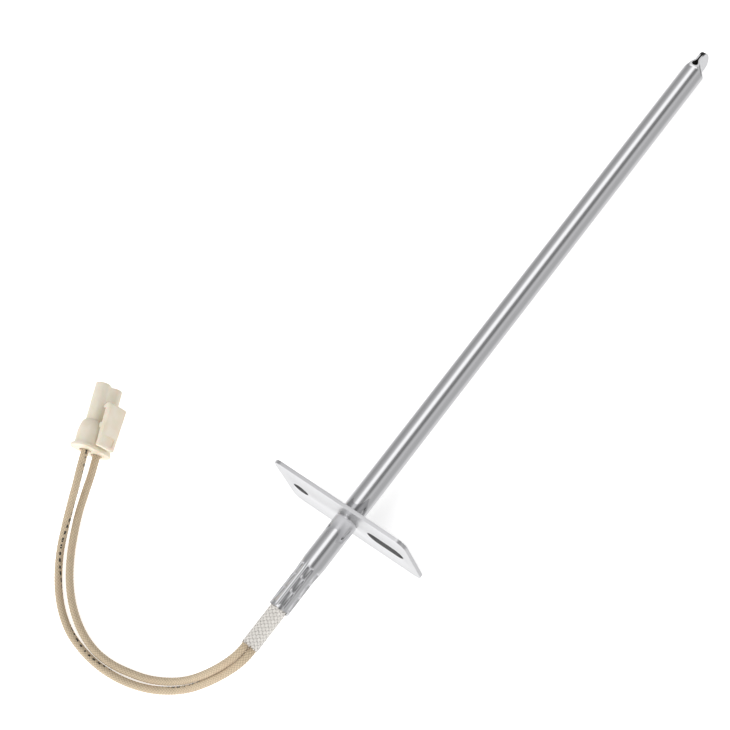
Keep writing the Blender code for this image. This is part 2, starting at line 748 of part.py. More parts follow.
def make_housing(plug):
    silo = [
        (0, PLUG_LENGTH),
        (SILO_RADIUS - SILO_CHAMFER, PLUG_LENGTH),
        (SILO_RADIUS, PLUG_LENGTH - SILO_CHAMFER),
    ]
    silo += dome_profile()[::-1]
    silo.append((0, 0))
    pitch = PLUG_PITCH / 2
    mesh = turned_mesh("plug_housing", silo, 28)
    mesh.transform(Matrix.Translation((pitch, 0, 0)))
    housing = add_piece("plug_housing", mesh, plug, NYLON)
    second = add_cutter("second_silo", turned_mesh("second_silo", silo, 28), plug)
    second.location = (-pitch, 0, 0)

    side = dome_profile()
    outline = [(radius, height) for radius, height in side]
    outline += [(-radius, height) for radius, height in reversed(side)]
    body = plate_mesh("rear_body", [outline], PLUG_PITCH)
    body.transform(FLAT_TO_YZ)
    middle = add_cutter("rear_body", body, plug)

    web_top = PLUG_LENGTH - WEB_SETBACK
    web_bottom = REAR_BODY_LENGTH - DOME_LENGTH
    web_size = (PLUG_PITCH, WEB_THICKNESS, web_top - web_bottom)
    web = add_cutter("silo_web", box_mesh("silo_web", web_size, (0, 0, (web_top + web_bottom) / 2)), plug)

    rim_length = PLUG_PITCH + 2 * REAR_BODY_RADIUS + RIM_OVERHANG
    rim_width = 2 * REAR_BODY_RADIUS
    rim_outline = rounded_rectangle(rim_length, rim_width, RIM_CORNER)
    rim_mesh = plate_mesh("rear_rim", [rim_outline], RIM_THICKNESS)
    rim = add_cutter("rear_rim", rim_mesh, plug)
    rim.location = (RIM_OVERHANG / 2, 0, RIM_THICKNESS / 2)
    for shape in (second, middle, web, rim):
        boolean(housing, shape, "UNION")

    bore = [
        (0, PLUG_LENGTH + FACE_GAP),
        (PLUG_BORE, PLUG_LENGTH + FACE_GAP),
        (PLUG_BORE, -FACE_GAP),
        (0, -FACE_GAP),
    ]
    for name, sign in LEAD_SIDES:
        cutter = add_cutter(f"plug_bore_{name}", turned_mesh("plug_bore", bore, 20), plug)
        cutter.location = (sign * pitch, 0, 0)
        boolean(housing, cutter, "DIFFERENCE")


def make_terminals(plug):
    """Crimped socket contacts: a socket at the front, a solid waist, then the grips on conductor and jacket."""
    wall = TERMINAL_WALL
    front = PLUG_LENGTH - TERMINAL_SETBACK
    jacket_grip = LEAD_RADIUS + 2 * BORE_GAP
    conductor_grip = CONDUCTOR_RADIUS + BORE_GAP
    jacket_end = TERMINAL_REAR + INSULATION_GRIP_LENGTH
    conductor_end = jacket_end + CONDUCTOR_GRIP_LENGTH
    waist_end = conductor_end + 2 * WAIST_RADIUS
    profile = [
        (0, waist_end),
        (SOCKET_RADIUS - wall, waist_end),
        (SOCKET_RADIUS - wall, front),
        (SOCKET_RADIUS, front),
        (SOCKET_RADIUS, waist_end - WAIST_RADIUS),
        (WAIST_RADIUS, waist_end - 2 * WAIST_RADIUS),
        (conductor_grip + 2 * wall, jacket_end + wall),
        (jacket_grip + wall, jacket_end),
        (jacket_grip + wall, TERMINAL_REAR),
        (jacket_grip, TERMINAL_REAR),
        (jacket_grip, jacket_end - wall),
        (conductor_grip, jacket_end - wall),
        (conductor_grip, conductor_end - wall),
        (0, conductor_end - wall),
    ]
    for side, sign in LEAD_SIDES:
        x = sign * PLUG_PITCH / 2
        place = Matrix.Translation((x, 0, 0))
        mesh = turned_mesh(f"terminal_{side}", profile, 16)
        add_piece(f"terminal_{side}", mesh, plug, TINNED_BRASS, place)
        run = ((x, 0, LEAD_IN_PLUG + FACE_GAP), (x, 0, conductor_end - wall - FACE_GAP))
        curve = tube_curve(f"conductor_{side}_plug", run, CONDUCTOR_RADIUS)
        add_piece(f"conductor_{side}_plug", curve, plug, NICKEL)


def make_latch(plug):
    """A rocking arm on the housing's broad side: thumb pad at the rear, post at the pivot, hook at the front."""
    pivot = add_frame("latch_pivot", Matrix.Translation((0, REAR_BODY_RADIUS, LATCH_PIVOT)), plug)
    low = LATCH_STANDOFF
    high = LATCH_STANDOFF + LATCH_THICKNESS
    rear = LATCH_REAR - LATCH_PIVOT
    front = LATCH_FRONT - LATCH_PIVOT
    hook = front - LATCH_HOOK_LENGTH
    post = LATCH_POST_LENGTH / 2
    outline = [
        (high, rear),
        (high + LATCH_RISE, front - LATCH_THICKNESS / 2),
        (high, front),
        (low, front),
        (low - LATCH_HOOK_DEPTH, hook + LATCH_THICKNESS / 2),
        (low - LATCH_HOOK_DEPTH, hook),
        (low, hook),
        (low, post),
        (FACE_GAP, post),
        (FACE_GAP, -post),
        (low, -post),
        (low, rear),
    ]
    mesh = plate_mesh("plug_latch", [outline], LATCH_WIDTH)
    mesh.transform(FLAT_TO_YZ)
    latch = add_piece("plug_latch", mesh, pivot, NYLON)
    bevel_edges(latch, LATCH_EDGE)


# ---------------------------------------------------------------- free leads


def near_end(share):
    """1 over the held share of a lead's length from its end, easing to 0 at the loose share."""
    slack = min(1.0, max(0.0, (LOOSE_SHARE - share) / (LOOSE_SHARE - HELD_SHARE)))
    return slack * slack * (3 - 2 * slack)


def lead_centre_line(route, sign, below_mouth, start, end):
    """The lead's centre at each point of its route, with its two ends brought to where they are held."""
    points = [Vector(point) * MM for point in route]
    last = len(points) - 1
    centres = []
    for index, point in enumerate(points):
        ahead = points[min(index + 1, last)] - points[max(index - 1, 0)]
        outwards = Vector((-ahead.y, ahead.x, 0)).normalized() * sign
        centres.append(below_mouth + point + (outwards + Vector((0, 0, 1))) * LEAD_RADIUS)
    to_start = start - centres[0]
    to_end = end - centres[-1]
    for index, centre in enumerate(centres):
        share = index / last
        centre += to_start * near_end(share) + to_end * near_end(1 - share)
        centre.z = max(centre.z, LEAD_RADIUS + SURFACE_GAP)
    return centres


def make_free_leads(pair, plug, below_mouth):
    for (side, sign), route in zip(LEAD_SIDES, (LEAD_A_ROUTE, LEAD_B_ROUTE)):
        start = pair @ Vector((sign * LEAD_OFFSET, SLEEVE_MOUTH - FACE_GAP, 0))
        end = plug @ Vector((sign * PLUG_PITCH / 2, 0, LEAD_IN_PLUG))
        places = lead_centre_line(route, sign, below_mouth, start, end)
        curve = tube_curve(f"lead_{side}", smooth_route(places, CORD_SAMPLE), LEAD_RADIUS)
        add_piece(f"lead_{side}", curve, None, BEIGE_BRAID)


# ---------------------------------------------------------------- assembly

clear_scene()
PARTS = new_collection("oven_temperature_sensor_probe")
CUTTERS = new_collection("cutters")

rest_height = FLANGE_WIDTH / 2 * cos(TILT) + FLANGE_THICKNESS * sin(TILT)
middle_y = (PROBE_LENGTH + SLEEVE_MOUTH) / 2 * cos(TILT)
lie_on_surface = Matrix.Translation((0, -middle_y, rest_height)) @ Matrix.Rotation(-TILT, 4, "X")
below_mouth = lie_on_surface @ Vector((0, SLEEVE_MOUTH, 0))
below_mouth.z = 0
pair_roll = Matrix.Rotation(PAIR_ROLL, 4, "Y")
probe_frame = add_frame("probe", lie_on_surface)
pair_frame = add_frame("lead_pair", pair_roll, probe_frame)
plug_turn = (
    Matrix.Rotation(PLUG_HEADING + pi / 2, 4, "Z")
    @ Matrix.Rotation(pi / 2, 4, "X")
    @ Matrix.Rotation(PLUG_ROLL, 4, "Z")
)
plug_place = Matrix.Translation(below_mouth + Vector((PLUG_X, PLUG_Y, PLUG_HEIGHT))) @ plug_turn
plug_frame = add_frame("plug", plug_place)

make_sheath(probe_frame)
make_flange(probe_frame)
make_sleeve(pair_frame)
make_held_leads(pair_frame)
make_potting(pair_frame)
make_chip(pair_frame)
make_splices(pair_frame)
make_insulator(pair_frame)
make_housing(plug_frame)
make_terminals(plug_frame)
make_latch(plug_frame)
make_free_leads(lie_on_surface @ pair_roll, plug_place, below_mouth)
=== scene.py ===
# %% [markdown]
# # An oven temperature sensor, finished for rendering
# The sensor is a stainless tube with a platinum element in its pinched tip, a two-hole flange, a crimped
# rear end that grips a white fibreglass sleeve, two braided leads and an ivory two-way plug. The packed
# model gives every piece its size and place. This script adds the fine surface: stamped pockets, woven
# braid, moulded edges and the finish of each material.

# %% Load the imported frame
from functools import partial
from math import atan, ceil, cos, degrees, pi, radians, sin

import bmesh
import bpy
from mathutils import Matrix, Vector


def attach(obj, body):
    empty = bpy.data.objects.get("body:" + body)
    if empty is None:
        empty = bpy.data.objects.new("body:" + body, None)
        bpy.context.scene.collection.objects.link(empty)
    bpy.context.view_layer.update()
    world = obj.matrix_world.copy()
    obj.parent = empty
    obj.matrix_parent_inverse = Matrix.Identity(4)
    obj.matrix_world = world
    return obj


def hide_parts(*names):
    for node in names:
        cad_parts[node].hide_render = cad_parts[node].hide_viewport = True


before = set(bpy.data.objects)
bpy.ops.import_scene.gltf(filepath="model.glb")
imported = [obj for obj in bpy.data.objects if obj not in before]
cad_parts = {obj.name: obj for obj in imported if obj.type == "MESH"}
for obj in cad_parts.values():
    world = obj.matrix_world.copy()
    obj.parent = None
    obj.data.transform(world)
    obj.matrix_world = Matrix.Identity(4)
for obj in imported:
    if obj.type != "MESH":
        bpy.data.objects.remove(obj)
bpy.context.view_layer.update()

MM = 0.001

# %% [markdown]
# ## The camera
# A product photograph of a long thin part is taken from well above, with a long lens, so that the tube runs
# across the frame's diagonal. A camera is placed here by where it stands, which way it looks and which way
# is up in the picture: three directions at right angles make its rotation matrix. The roll matters as much
# as the aim, because it is what turns the tube onto the diagonal.

# %% Camera
CAMERA_PLACE = Vector((181.1, -111.6, 428.7)) * MM
CAMERA_LOOKS = Vector((-0.4319, 0.1832, -0.8831)).normalized()
CAMERA_UP = Vector((-0.4740, 0.7870, 0.3950))
LENS_MM = 87.58

camera_right = CAMERA_LOOKS.cross(CAMERA_UP).normalized()
camera_up = camera_right.cross(CAMERA_LOOKS)
camera_data = bpy.data.cameras.new("camera")
camera_data.lens = LENS_MM
camera_data.sensor_width = 36
camera_data.clip_start = 0.01
camera_data.dof.use_dof = False
camera = bpy.data.objects.new("camera", camera_data)
bpy.context.scene.collection.objects.link(camera)
camera.matrix_world = Matrix.Translation(CAMERA_PLACE) @ Matrix(
    (camera_right, camera_up, -CAMERA_LOOKS)
).transposed().to_4x4()
bpy.context.scene.camera = camera
print("camera", round((CAMERA_PLACE.length) / MM), "mm from the origin")

# %% [markdown]
# ## Where the probe lies
# The flange's long lower edge and the tip both touch the surface, so the probe slopes down to its tip by a
# few degrees. Every piece on the probe is easier to shape in the probe's own axes, with Y along the tube,
# and then turned and moved into the row frame once. The slope follows from the flange's height, the tube's
# radius and the distance between the two places that touch.

# %% The probe's own axes
TUBE_RADIUS = 3.175 * MM
TUBE_WALL = 0.5 * MM
PROBE_LENGTH = 165.0 * MM
PINCH_LENGTH = 6.7 * MM
REAR_LENGTH = 28.6 * MM
SLEEVE_SHOWING = 11.6 * MM
FLANGE_LENGTH = 43.2 * MM
FLANGE_WIDTH = 24.8 * MM
FLANGE_THICKNESS = 1.0 * MM
PAIR_ROLL = radians(26.4)

full_tube_end = PROBE_LENGTH - PINCH_LENGTH
sleeve_mouth = -REAR_LENGTH - SLEEVE_SHOWING
tilt = atan((FLANGE_WIDTH / 2 - TUBE_RADIUS) / (full_tube_end - FLANGE_THICKNESS))
rest_height = FLANGE_WIDTH / 2 * cos(tilt) + FLANGE_THICKNESS * sin(tilt)
middle_y = (PROBE_LENGTH + sleeve_mouth) / 2 * cos(tilt)
PROBE = Matrix.Translation((0, -middle_y, rest_height)) @ Matrix.Rotation(-tilt, 4, "X")
PAIR = PROBE @ Matrix.Rotation(PAIR_ROLL, 4, "Y")
print("probe slopes", round(degrees(tilt), 2), "degrees towards its tip")

# %% [markdown]
# ## Helpers for meshes
# Small helpers are used all through. They turn lists of points and faces into an object, bake an object's
# modifiers into a plain mesh, round its edges, and join or cut shapes. The one that comes last in every
# recipe moves a piece from its own axes into the row frame, so that its place is in its mesh. It gives the
# piece a material and the body that it rides on, and hides the CAD node that it stands for.

# %% Mesh helpers
SAME_PLACE = 0.001 * MM
TURNED_SAME_PLACE = 0.005 * MM


def new_object(name, mesh):
    obj = bpy.data.objects.new(name, mesh)
    bpy.context.scene.collection.objects.link(obj)
    return obj


def shade_round(mesh, angle=35):
    mesh.shade_smooth()
    mesh.set_sharp_from_angle(angle=radians(angle))


def bake(obj):
    """A plain mesh object from one with modifiers, or from a curve. The first object is removed."""
    bpy.context.view_layer.update()
    graph = bpy.context.evaluated_depsgraph_get()
    mesh = bpy.data.meshes.new_from_object(obj.evaluated_get(graph))
    name = obj.name
    bpy.data.objects.remove(obj)
    mesh.name = name
    return new_object(name, mesh)


def tidy_faces(mesh):
    shape = bmesh.new()
    shape.from_mesh(mesh)
    bmesh.ops.remove_doubles(shape, verts=shape.verts, dist=SAME_PLACE)
    bmesh.ops.recalc_face_normals(shape, faces=shape.faces)
    shape.to_mesh(mesh)
    shape.free()


def finish_piece(obj, matrix, material, body, node):
    """Puts the piece in the row frame, gives it its material and body, and hides its CAD node."""
    obj.data.transform(matrix)
    if material:
        obj.data.materials.clear()
        obj.data.materials.append(material)
    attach(obj, body)
    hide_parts(node)
    print(obj.name, len(obj.data.polygons), "faces")
    return obj


def ring_mesh(name, rings):
    """A skin through rings of points. The last ring joins the first, as in a tube with a wall."""
    mesh = bpy.data.meshes.new(name)
    shape = bmesh.new()
    rows = [[shape.verts.new(point) for point in ring] for ring in rings]
    for row, after in zip(rows, rows[1:] + rows[:1]):
        for k in range(len(row)):
            n = (k + 1) % len(row)
            shape.faces.new((row[k], row[n], after[n], after[k]))
    bmesh.ops.recalc_face_normals(shape, faces=shape.faces)
    shape.to_mesh(mesh)
    shape.free()
    return mesh


def arc(centre, radius, start, end, steps):
    angles = [radians(start + (end - start) * k / steps) for k in range(steps + 1)]
    return [(centre[0] + radius * cos(a), centre[1] + radius * sin(a)) for a in angles]


def plate(name, outlines, thickness):
    """A flat plate about the XY plane: the first outline is its edge, and each of the others is a hole."""
    curve = bpy.data.curves.new(name, "CURVE")
    curve.dimensions = "2D"
    curve.fill_mode = "BOTH"
    curve.extrude = thickness / 2
    for outline in outlines:
        spline = curve.splines.new("POLY")
        spline.points.add(len(outline) - 1)
        for point, (x, y) in zip(spline.points, outline):
            point.co = (x, y, 0, 1)
        spline.use_cyclic_u = True
    obj = bake(new_object(name, curve))
    tidy_faces(obj.data)
    return obj


def turned(name, profile, steps):
    """A shape of revolution about Z from (radius, height) points that run down its outer side."""
    mesh = bpy.data.meshes.new(name)
    shape = bmesh.new()
    points = [shape.verts.new((radius, 0, height)) for radius, height in profile]
    loop = points[1:] + points[:1] if profile[0][0] > 0 else points[1:]
    for first, second in zip(points, loop):
        shape.edges.new((first, second))
    shape.to_mesh(mesh)
    shape.free()
    guide = new_object(name, mesh)
    screw = guide.modifiers.new("turn", "SCREW")
    screw.steps = steps
    screw.render_steps = steps
    screw.use_merge_vertices = True
    screw.merge_threshold = TURNED_SAME_PLACE
    obj = bake(guide)
    tidy_faces(obj.data)
    return obj


def round_edges(obj, width, segments=4, angle=40):
    edge = obj.modifiers.new("edge", "BEVEL")
    edge.width = width
    edge.segments = segments
    edge.limit_method = "ANGLE"
    edge.angle_limit = radians(angle)
    return bake(obj)


def combine(obj, others, operation):
    for other in others:
        step = obj.modifiers.new(other.name, "BOOLEAN")
        step.operation = operation
        step.object = other
        step.solver = "EXACT"
    obj = bake(obj)
    for other in others:
        bpy.data.objects.remove(other)
    return obj


def ease(share):
    share = min(1.0, max(0.0, share))
    return share * share * (3 - 2 * share)


def pulse(value, start, end, slope):
    """1 between start and end, falling smoothly to 0 over the slope at each side."""
    return ease((value - start) / slope) * ease((end - value) / slope)


# %% [markdown]
# ## Grain for metals, and how shader groups are made
# Drawn tube, rolled plate and wire all show the same thing at different scales: fine streaks along the way
# the metal was pulled, and a slow cloudiness across it. That is one node group, with the stretch, the
# strength and the colour as inputs. It puts out a colour, a roughness and a height, and each material's own
# Principled shader and Bump take them. A group is made once and placed in each material with its own values.
# A socket knows the node tree that it is in, so the helpers for sums only need the sockets.

# %% Shader group: metal grain
CLOUDS_PER_METRE = 140.0
STREAK_SHARE = 0.6
GRAIN_BUMP = 0.35


def add_inputs(group, inputs):
    """A named input for each value, of the kind that the value fits."""
    for label, value in inputs.items():
        if isinstance(value, bpy.types.Material):
            kind = "Material"
        elif isinstance(value, (int, float)):
            kind = "Int" if isinstance(value, int) else "Float"
        else:
            kind = "Color" if len(value) == 4 else "Vector"
        socket = group.interface.new_socket(label, in_out="INPUT", socket_type=f"NodeSocket{kind}")
        socket.default_value = value


def new_group(name, inputs, outputs):
    group = bpy.data.node_groups.new(name, "ShaderNodeTree")
    add_inputs(group, inputs)
    for label, kind in outputs.items():
        group.interface.new_socket(label, in_out="OUTPUT", socket_type=f"NodeSocket{kind}")
    return group, group.nodes.new("NodeGroupInput"), group.nodes.new("NodeGroupOutput")


def add_node(tree, kind, links=None, **settings):
    """A node with its settings. links maps an input's name or number to a socket or to a plain value."""
    node = tree.nodes.new(kind)
    for key, value in settings.items():
        setattr(node, key, value)
    for key, value in (links or {}).items():
        if isinstance(value, bpy.types.NodeSocket):
            tree.links.new(value, node.inputs[key])
        else:
            node.inputs[key].default_value = value
    return node


def tree_of(*values):
    """The node tree that the first socket among the values belongs to."""
    return next(value.id_data for value in values if isinstance(value, bpy.types.NodeSocket))


def math(operation, first, second=0.0, third=0.0):
    links = {0: first, 1: second, 2: third}
    return add_node(tree_of(first, second, third), "ShaderNodeMath", links, operation=operation).outputs[0]


times, plus, minus, over, times_plus, sine, cosine = (
    partial(math, operation)
    for operation in ("MULTIPLY", "ADD", "SUBTRACT", "DIVIDE", "MULTIPLY_ADD", "SINE", "COSINE")
)


def vector_math(operation, first, links):
    links = {0: first, **links}
    return add_node(tree_of(first), "ShaderNodeVectorMath", links, operation=operation).outputs[0]


def combined(x=0.0, y=0.0, z=0.0):
    return add_node(tree_of(x, y, z), "ShaderNodeCombineXYZ", {0: x, 1: y, 2: z}).outputs[0]


def separated(vector):
    return add_node(vector.id_data, "ShaderNodeSeparateXYZ", {0: vector}).outputs


def object_place(tree):
    return add_node(tree, "ShaderNodeTexCoord").outputs["Object"]


def noise(place, scale, detail, **links):
    links = {"Vector": place, "Scale": scale, "Detail": detail, **links}
    return add_node(place.id_data, "ShaderNodeTexNoise", links).outputs["Fac"]


def from_middle(value):
    """A noise value, 0 to 1, as a swing about zero."""
    return minus(value, 0.5)


def mix_colour(factor, first, second, blend="MIX"):
    links = {0: factor, 6: first, 7: second}
    tree = tree_of(factor, first, second)
    return add_node(tree, "ShaderNodeMix", links, data_type="RGBA", blend_type=blend).outputs[2]


def between(value, start, end):
    """0 at the start and 1 at the end, eased."""
    links = {"Value": value, "From Min": start, "From Max": end}
    node = add_node(value.id_data, "ShaderNodeMapRange", links, interpolation_type="SMOOTHSTEP")
    return node.outputs["Result"]


def build_metal_grain():
    tree, given, put = new_group(
        "metal grain",
        {
            "Vector": (0, 0, 0),
            "Colour": (0.6, 0.6, 0.61, 1),
            "Stretch": (1, 0.02, 1),
            "Streaks per metre": 9000.0,
            "Colour depth": 0.12,
            "Roughness": 0.22,
            "Roughness spread": 0.08,
        },
        {"Colour": "Color", "Roughness": "Float", "Height": "Float"},
    )
    wanted = given.outputs
    stretched = vector_math("MULTIPLY", wanted["Vector"], {1: wanted["Stretch"]})
    streaks = noise(stretched, wanted["Streaks per metre"], 3.0, Roughness=0.6)
    clouds = noise(wanted["Vector"], CLOUDS_PER_METRE, 4.0)
    both = plus(times(streaks, STREAK_SHARE), times(clouds, 1 - STREAK_SHARE))
    centred = from_middle(both)
    level = times_plus(centred, wanted["Colour depth"], 1.0)
    shaded = mix_colour(1.0, wanted["Colour"], combined(level, level, level), "MULTIPLY")
    rough = times_plus(centred, wanted["Roughness spread"], wanted["Roughness"])
    tree.links.new(shaded, put.inputs["Colour"])
    tree.links.new(rough, put.inputs["Roughness"])
    tree.links.new(streaks, put.inputs["Height"])
    return tree


METAL_GRAIN = build_metal_grain()


def new_material(name, values):
    """A material with these values on its Principled shader."""
    material = bpy.data.materials.new(name)
    material.use_nodes = True
    tree = material.node_tree
    shader = tree.nodes["Principled BSDF"]
    for label, value in values.items():
        shader.inputs[label].default_value = value
    return material, tree, shader


def link_bump(tree, shader, height, strength, distance):
    bump = add_node(tree, "ShaderNodeBump", {"Strength": strength, "Distance": distance, "Height": height})
    tree.links.new(bump.outputs["Normal"], shader.inputs["Normal"])


def round_the_tube(tree, shader):
    """Fine drawing lines run along the tube, so its highlights blur round it and stay crisp along it."""
    normal = add_node(tree, "ShaderNodeNewGeometry").outputs["Normal"]
    axis = PROBE.to_3x3() @ Vector((0, 1, 0))
    tree.links.new(vector_math("CROSS_PRODUCT", normal, {1: axis}), shader.inputs["Tangent"])
    shader.inputs["Anisotropic"].default_value = 1.0


def metal(name, grey, roughness, relief=0.004 * MM, **grain_values):
    """A metal with its grain along the probe. The grain's other inputs may be given by name."""
    material, tree, shader = new_material(name, {"Metallic": 1.0})
    along = add_node(tree, "ShaderNodeMapping", {"Vector": object_place(tree), "Rotation": (tilt, 0, 0)})
    links = {"Vector": along.outputs[0], "Colour": (*grey, 1), "Roughness": roughness}
    links.update({label.replace("_", " "): value for label, value in grain_values.items()})
    grain = add_node(tree, "ShaderNodeGroup", links, node_tree=METAL_GRAIN).outputs
    tree.links.new(grain["Colour"], shader.inputs["Base Color"])
    tree.links.new(grain["Roughness"], shader.inputs["Roughness"])
    link_bump(tree, shader, grain["Height"], GRAIN_BUMP, relief)
    return material


STEEL = metal("drawn_stainless", (0.60, 0.60, 0.61), 0.10, relief=0.002 * MM, Roughness_spread=0.04)
round_the_tube(STEEL.node_tree, STEEL.node_tree.nodes["Principled BSDF"])
ROLLED_GRAIN = {"Roughness_spread": 0.12, "Stretch": (0.05, 1, 1), "Streaks_per_metre": 5000.0}
PLATE_STEEL = metal("rolled_stainless", (0.66, 0.66, 0.67), 0.34, **ROLLED_GRAIN)
NICKEL = metal("nickel_wire", (0.56, 0.54, 0.51), 0.30)
TINNED = metal("tinned_brass", (0.72, 0.68, 0.57), 0.30)
# Near-black steel for the tube's bore: painted shade, standing for the shadow inside the tube and in the
# tip's slot
BORE_SHADE_STEEL = metal("tube_bore_painted_shade", (0.10, 0.10, 0.10), 0.65)
CUT_GRAIN = {"Streaks_per_metre": 16000.0}
SHEARED_EDGE = metal("sheared_edge", (0.57, 0.57, 0.58), 0.34, Colour_depth=0.3, **CUT_GRAIN)
# Dark steel for the walls of the flange's holes: painted shade, for the shadow inside them
HOLE_WALL_SHADE = metal("hole_wall_painted_shade", (0.18, 0.18, 0.18), 0.6, Colour_depth=0.4, **CUT_GRAIN)
print("metals made, sharing", METAL_GRAIN.name)

# %% [markdown]
# ## The sheath
# The sheath is one tube, worked in three places. Its rear end is crimped: six rows of stamped pockets press
# the sleeve onto the leads. A shallow neck is rolled in next to the flange, which cannot slide out of it.
# The tip is squeezed flat, and the wide folds that this makes are trimmed off, which leaves two lips with
# an open corner at each side. A tube whose section changes along its length is a loft: rings of points,
# joined in order. Each worked zone is a rule for the ring at a given place, so the rings can be as close as
# the detail needs there and far apart where the tube is plain.

# %% Sheath sections
SEGMENTS = 264
REAR_TUBE_RADIUS = 3.225 * MM
CRIMP_RADIUS = 2.82 * MM
CRIMP_WIDENS = -18.0 * MM
CRIMP_FRONT = -13.6 * MM
RIM_FLARE = 0.18 * MM
RIM_LAND = 1.1 * MM
CRIMP_ROWS = 6
POCKETS = ((-27.6 * MM, -23.5 * MM), (-22.8 * MM, -19.2 * MM), (-18.5 * MM, -15.8 * MM))
POCKET_DEPTH = 0.36 * MM
POCKET_HALF_WIDTH = 0.70 * MM
POCKET_SLOPE = 0.13 * MM
POCKET_START_DEPTH = 0.65
POCKET_DEEPENS = 0.6
POCKET_ROUNDING = 0.35
LIP_RAISE = 0.10 * MM
RIDGE_RAISE = 0.09 * MM
RIM_WAVES = ((0.16 * MM, 2, 0.8), (0.07 * MM, 5, 0.0))
PLAIN_AFTER_CRIMP = 0.5 * MM
NECK_LENGTH = 0.5 * MM
NECK_DEPTH = 0.22 * MM
NECK_EDGE = 0.12 * MM
NECK_HOLLOW = 1.15
BORE_GAP = 0.1 * MM
PINCH_BLEND = 3.0 * MM
PINCH_EASE = 1.7
TRIM_START = 0.25 * MM
LIP_HALF_THICKNESS = 0.72 * MM
LIP_HALF_HEIGHT = 3.0 * MM
LIP_POINT_LENGTH = 2.5 * MM


def around(k):
    """The angle of a ring's point in the XZ plane. Point 0 is in the middle of a row of pockets."""
    return pi / 2 - PAIR_ROLL + 2 * pi * k / SEGMENTS


def crimp_point(y, angle, wall):
    """A point of the crimped rear end: round, with a ridge between rows and a line of pockets along each."""
    shoulder = ease((y - CRIMP_WIDENS) / (CRIMP_FRONT - CRIMP_WIDENS))
    radius = CRIMP_RADIUS + (REAR_TUBE_RADIUS - CRIMP_RADIUS) * shoulder
    row_step = 2 * pi / CRIMP_ROWS
    from_row = (angle - (pi / 2 - PAIR_ROLL) + row_step / 2) % row_step - row_step / 2
    across = abs(from_row) * CRIMP_RADIUS
    flare = ease(1 - (y + REAR_LENGTH) / RIM_LAND)
    crimped = (1 - shoulder) * (1 - flare)
    radius += RIM_FLARE * flare
    ridge = pulse(across, POCKET_HALF_WIDTH + POCKET_SLOPE / 2, 2 * POCKET_HALF_WIDTH, 2 * POCKET_SLOPE)
    radius += RIDGE_RAISE * crimped * ridge
    side = ease((POCKET_HALF_WIDTH + POCKET_SLOPE / 2 - across) / POCKET_SLOPE)
    for start, end in POCKETS:
        sunk = side * pulse(y, start, end, POCKET_SLOPE)
        deeper = POCKET_START_DEPTH + POCKET_DEEPENS * ease((y - start) / (end - start))
        valley = 1 - POCKET_ROUNDING * min(1.0, across / POCKET_HALF_WIDTH)
        radius -= POCKET_DEPTH * deeper * valley * sunk
        radius += LIP_RAISE * side * pulse(y, end, end + 3 * POCKET_SLOPE, POCKET_SLOPE)
    wavy = sum(height * flare * sin(waves * angle + start) for height, waves, start in RIM_WAVES)
    radius -= wall
    return (radius * cos(angle), y + wavy, radius * sin(angle))


def flattened_point(y, k, half_thickness, wall):
    """A point of a tube's section squeezed along X, its perimeter kept."""
    straight = pi / 2 * (TUBE_RADIUS - half_thickness)
    quarter = straight + half_thickness * pi / 2
    angle = around(k) % (2 * pi)
    side = int(angle // (pi / 2))
    run = (angle % (pi / 2)) / (pi / 2) * quarter
    if side % 2:
        run = quarter - run
    radius = half_thickness - wall
    x, z = radius, run
    if run > straight:
        turn = (run - straight) / half_thickness
        x, z = radius * cos(turn), straight + radius * sin(turn)
    return (-x if side in (1, 2) else x, y, -z if side in (2, 3) else z)


def round_ring(y, radius):
    return [(radius * cos(around(k)), y, radius * sin(around(k))) for k in range(SEGMENTS)]


def sheath_rings(wall, step):
    rings = []
    crimp_end = CRIMP_FRONT + PLAIN_AFTER_CRIMP
    count = ceil((crimp_end + REAR_LENGTH) / step)
    for row in range(count + 1):
        y = -REAR_LENGTH + (crimp_end + REAR_LENGTH) * row / count
        rings.append([crimp_point(y, around(k), wall) for k in range(SEGMENTS)])
    neck_start = -NECK_LENGTH
    neck_end = FLANGE_THICKNESS + BORE_GAP
    for y, radius in (
        (neck_start - NECK_EDGE, REAR_TUBE_RADIUS),
        (neck_start - NECK_EDGE / 3, REAR_TUBE_RADIUS - NECK_EDGE / 4),
        (neck_start, REAR_TUBE_RADIUS - NECK_EDGE),
        (neck_start + NECK_EDGE / 2, TUBE_RADIUS - NECK_DEPTH),
        (neck_start / 2, TUBE_RADIUS - NECK_DEPTH * NECK_HOLLOW),
        (0.0, TUBE_RADIUS - NECK_DEPTH),
        (neck_end, TUBE_RADIUS - NECK_DEPTH),
        (neck_end + BORE_GAP, TUBE_RADIUS - NECK_EDGE / 2),
        (neck_end + 2 * BORE_GAP, TUBE_RADIUS),
        (full_tube_end - MM, TUBE_RADIUS),
    ):
        rings.append(round_ring(y, radius - wall))
    rings.append([flattened_point(full_tube_end, k, TUBE_RADIUS, wall) for k in range(SEGMENTS)])
    squeeze_steps = 30
    for row in range(1, squeeze_steps + 1):
        share = row / squeeze_steps
        half = TUBE_RADIUS + (LIP_HALF_THICKNESS - TUBE_RADIUS) * (1 - (1 - share) ** PINCH_EASE)
        y = full_tube_end + PINCH_BLEND * share
        rings.append([flattened_point(y, k, half, wall) for k in range(SEGMENTS)])
    rings.append([flattened_point(PROBE_LENGTH, k, LIP_HALF_THICKNESS, wall) for k in range(SEGMENTS)])
    return rings


def trim_outline():
    """A horseshoe round the tip in (y, z). What it covers is trimmed off."""
    margin = 4 * TUBE_RADIUS
    start = full_tube_end + TRIM_START
    lips = []
    steps = 40
    for k in range(steps + 1):
        angle = pi / 2 * (1 - 2 * k / steps)
        y = PROBE_LENGTH - LIP_POINT_LENGTH + LIP_POINT_LENGTH * cos(angle)
        lips.append((y, LIP_HALF_HEIGHT * sin(angle)))
    end = PROBE_LENGTH + margin
    corners = [(start, -margin), (end, -margin), (end, margin), (start, margin), (start, TUBE_RADIUS)]
    return corners + lips + [(start, -TUBE_RADIUS)]


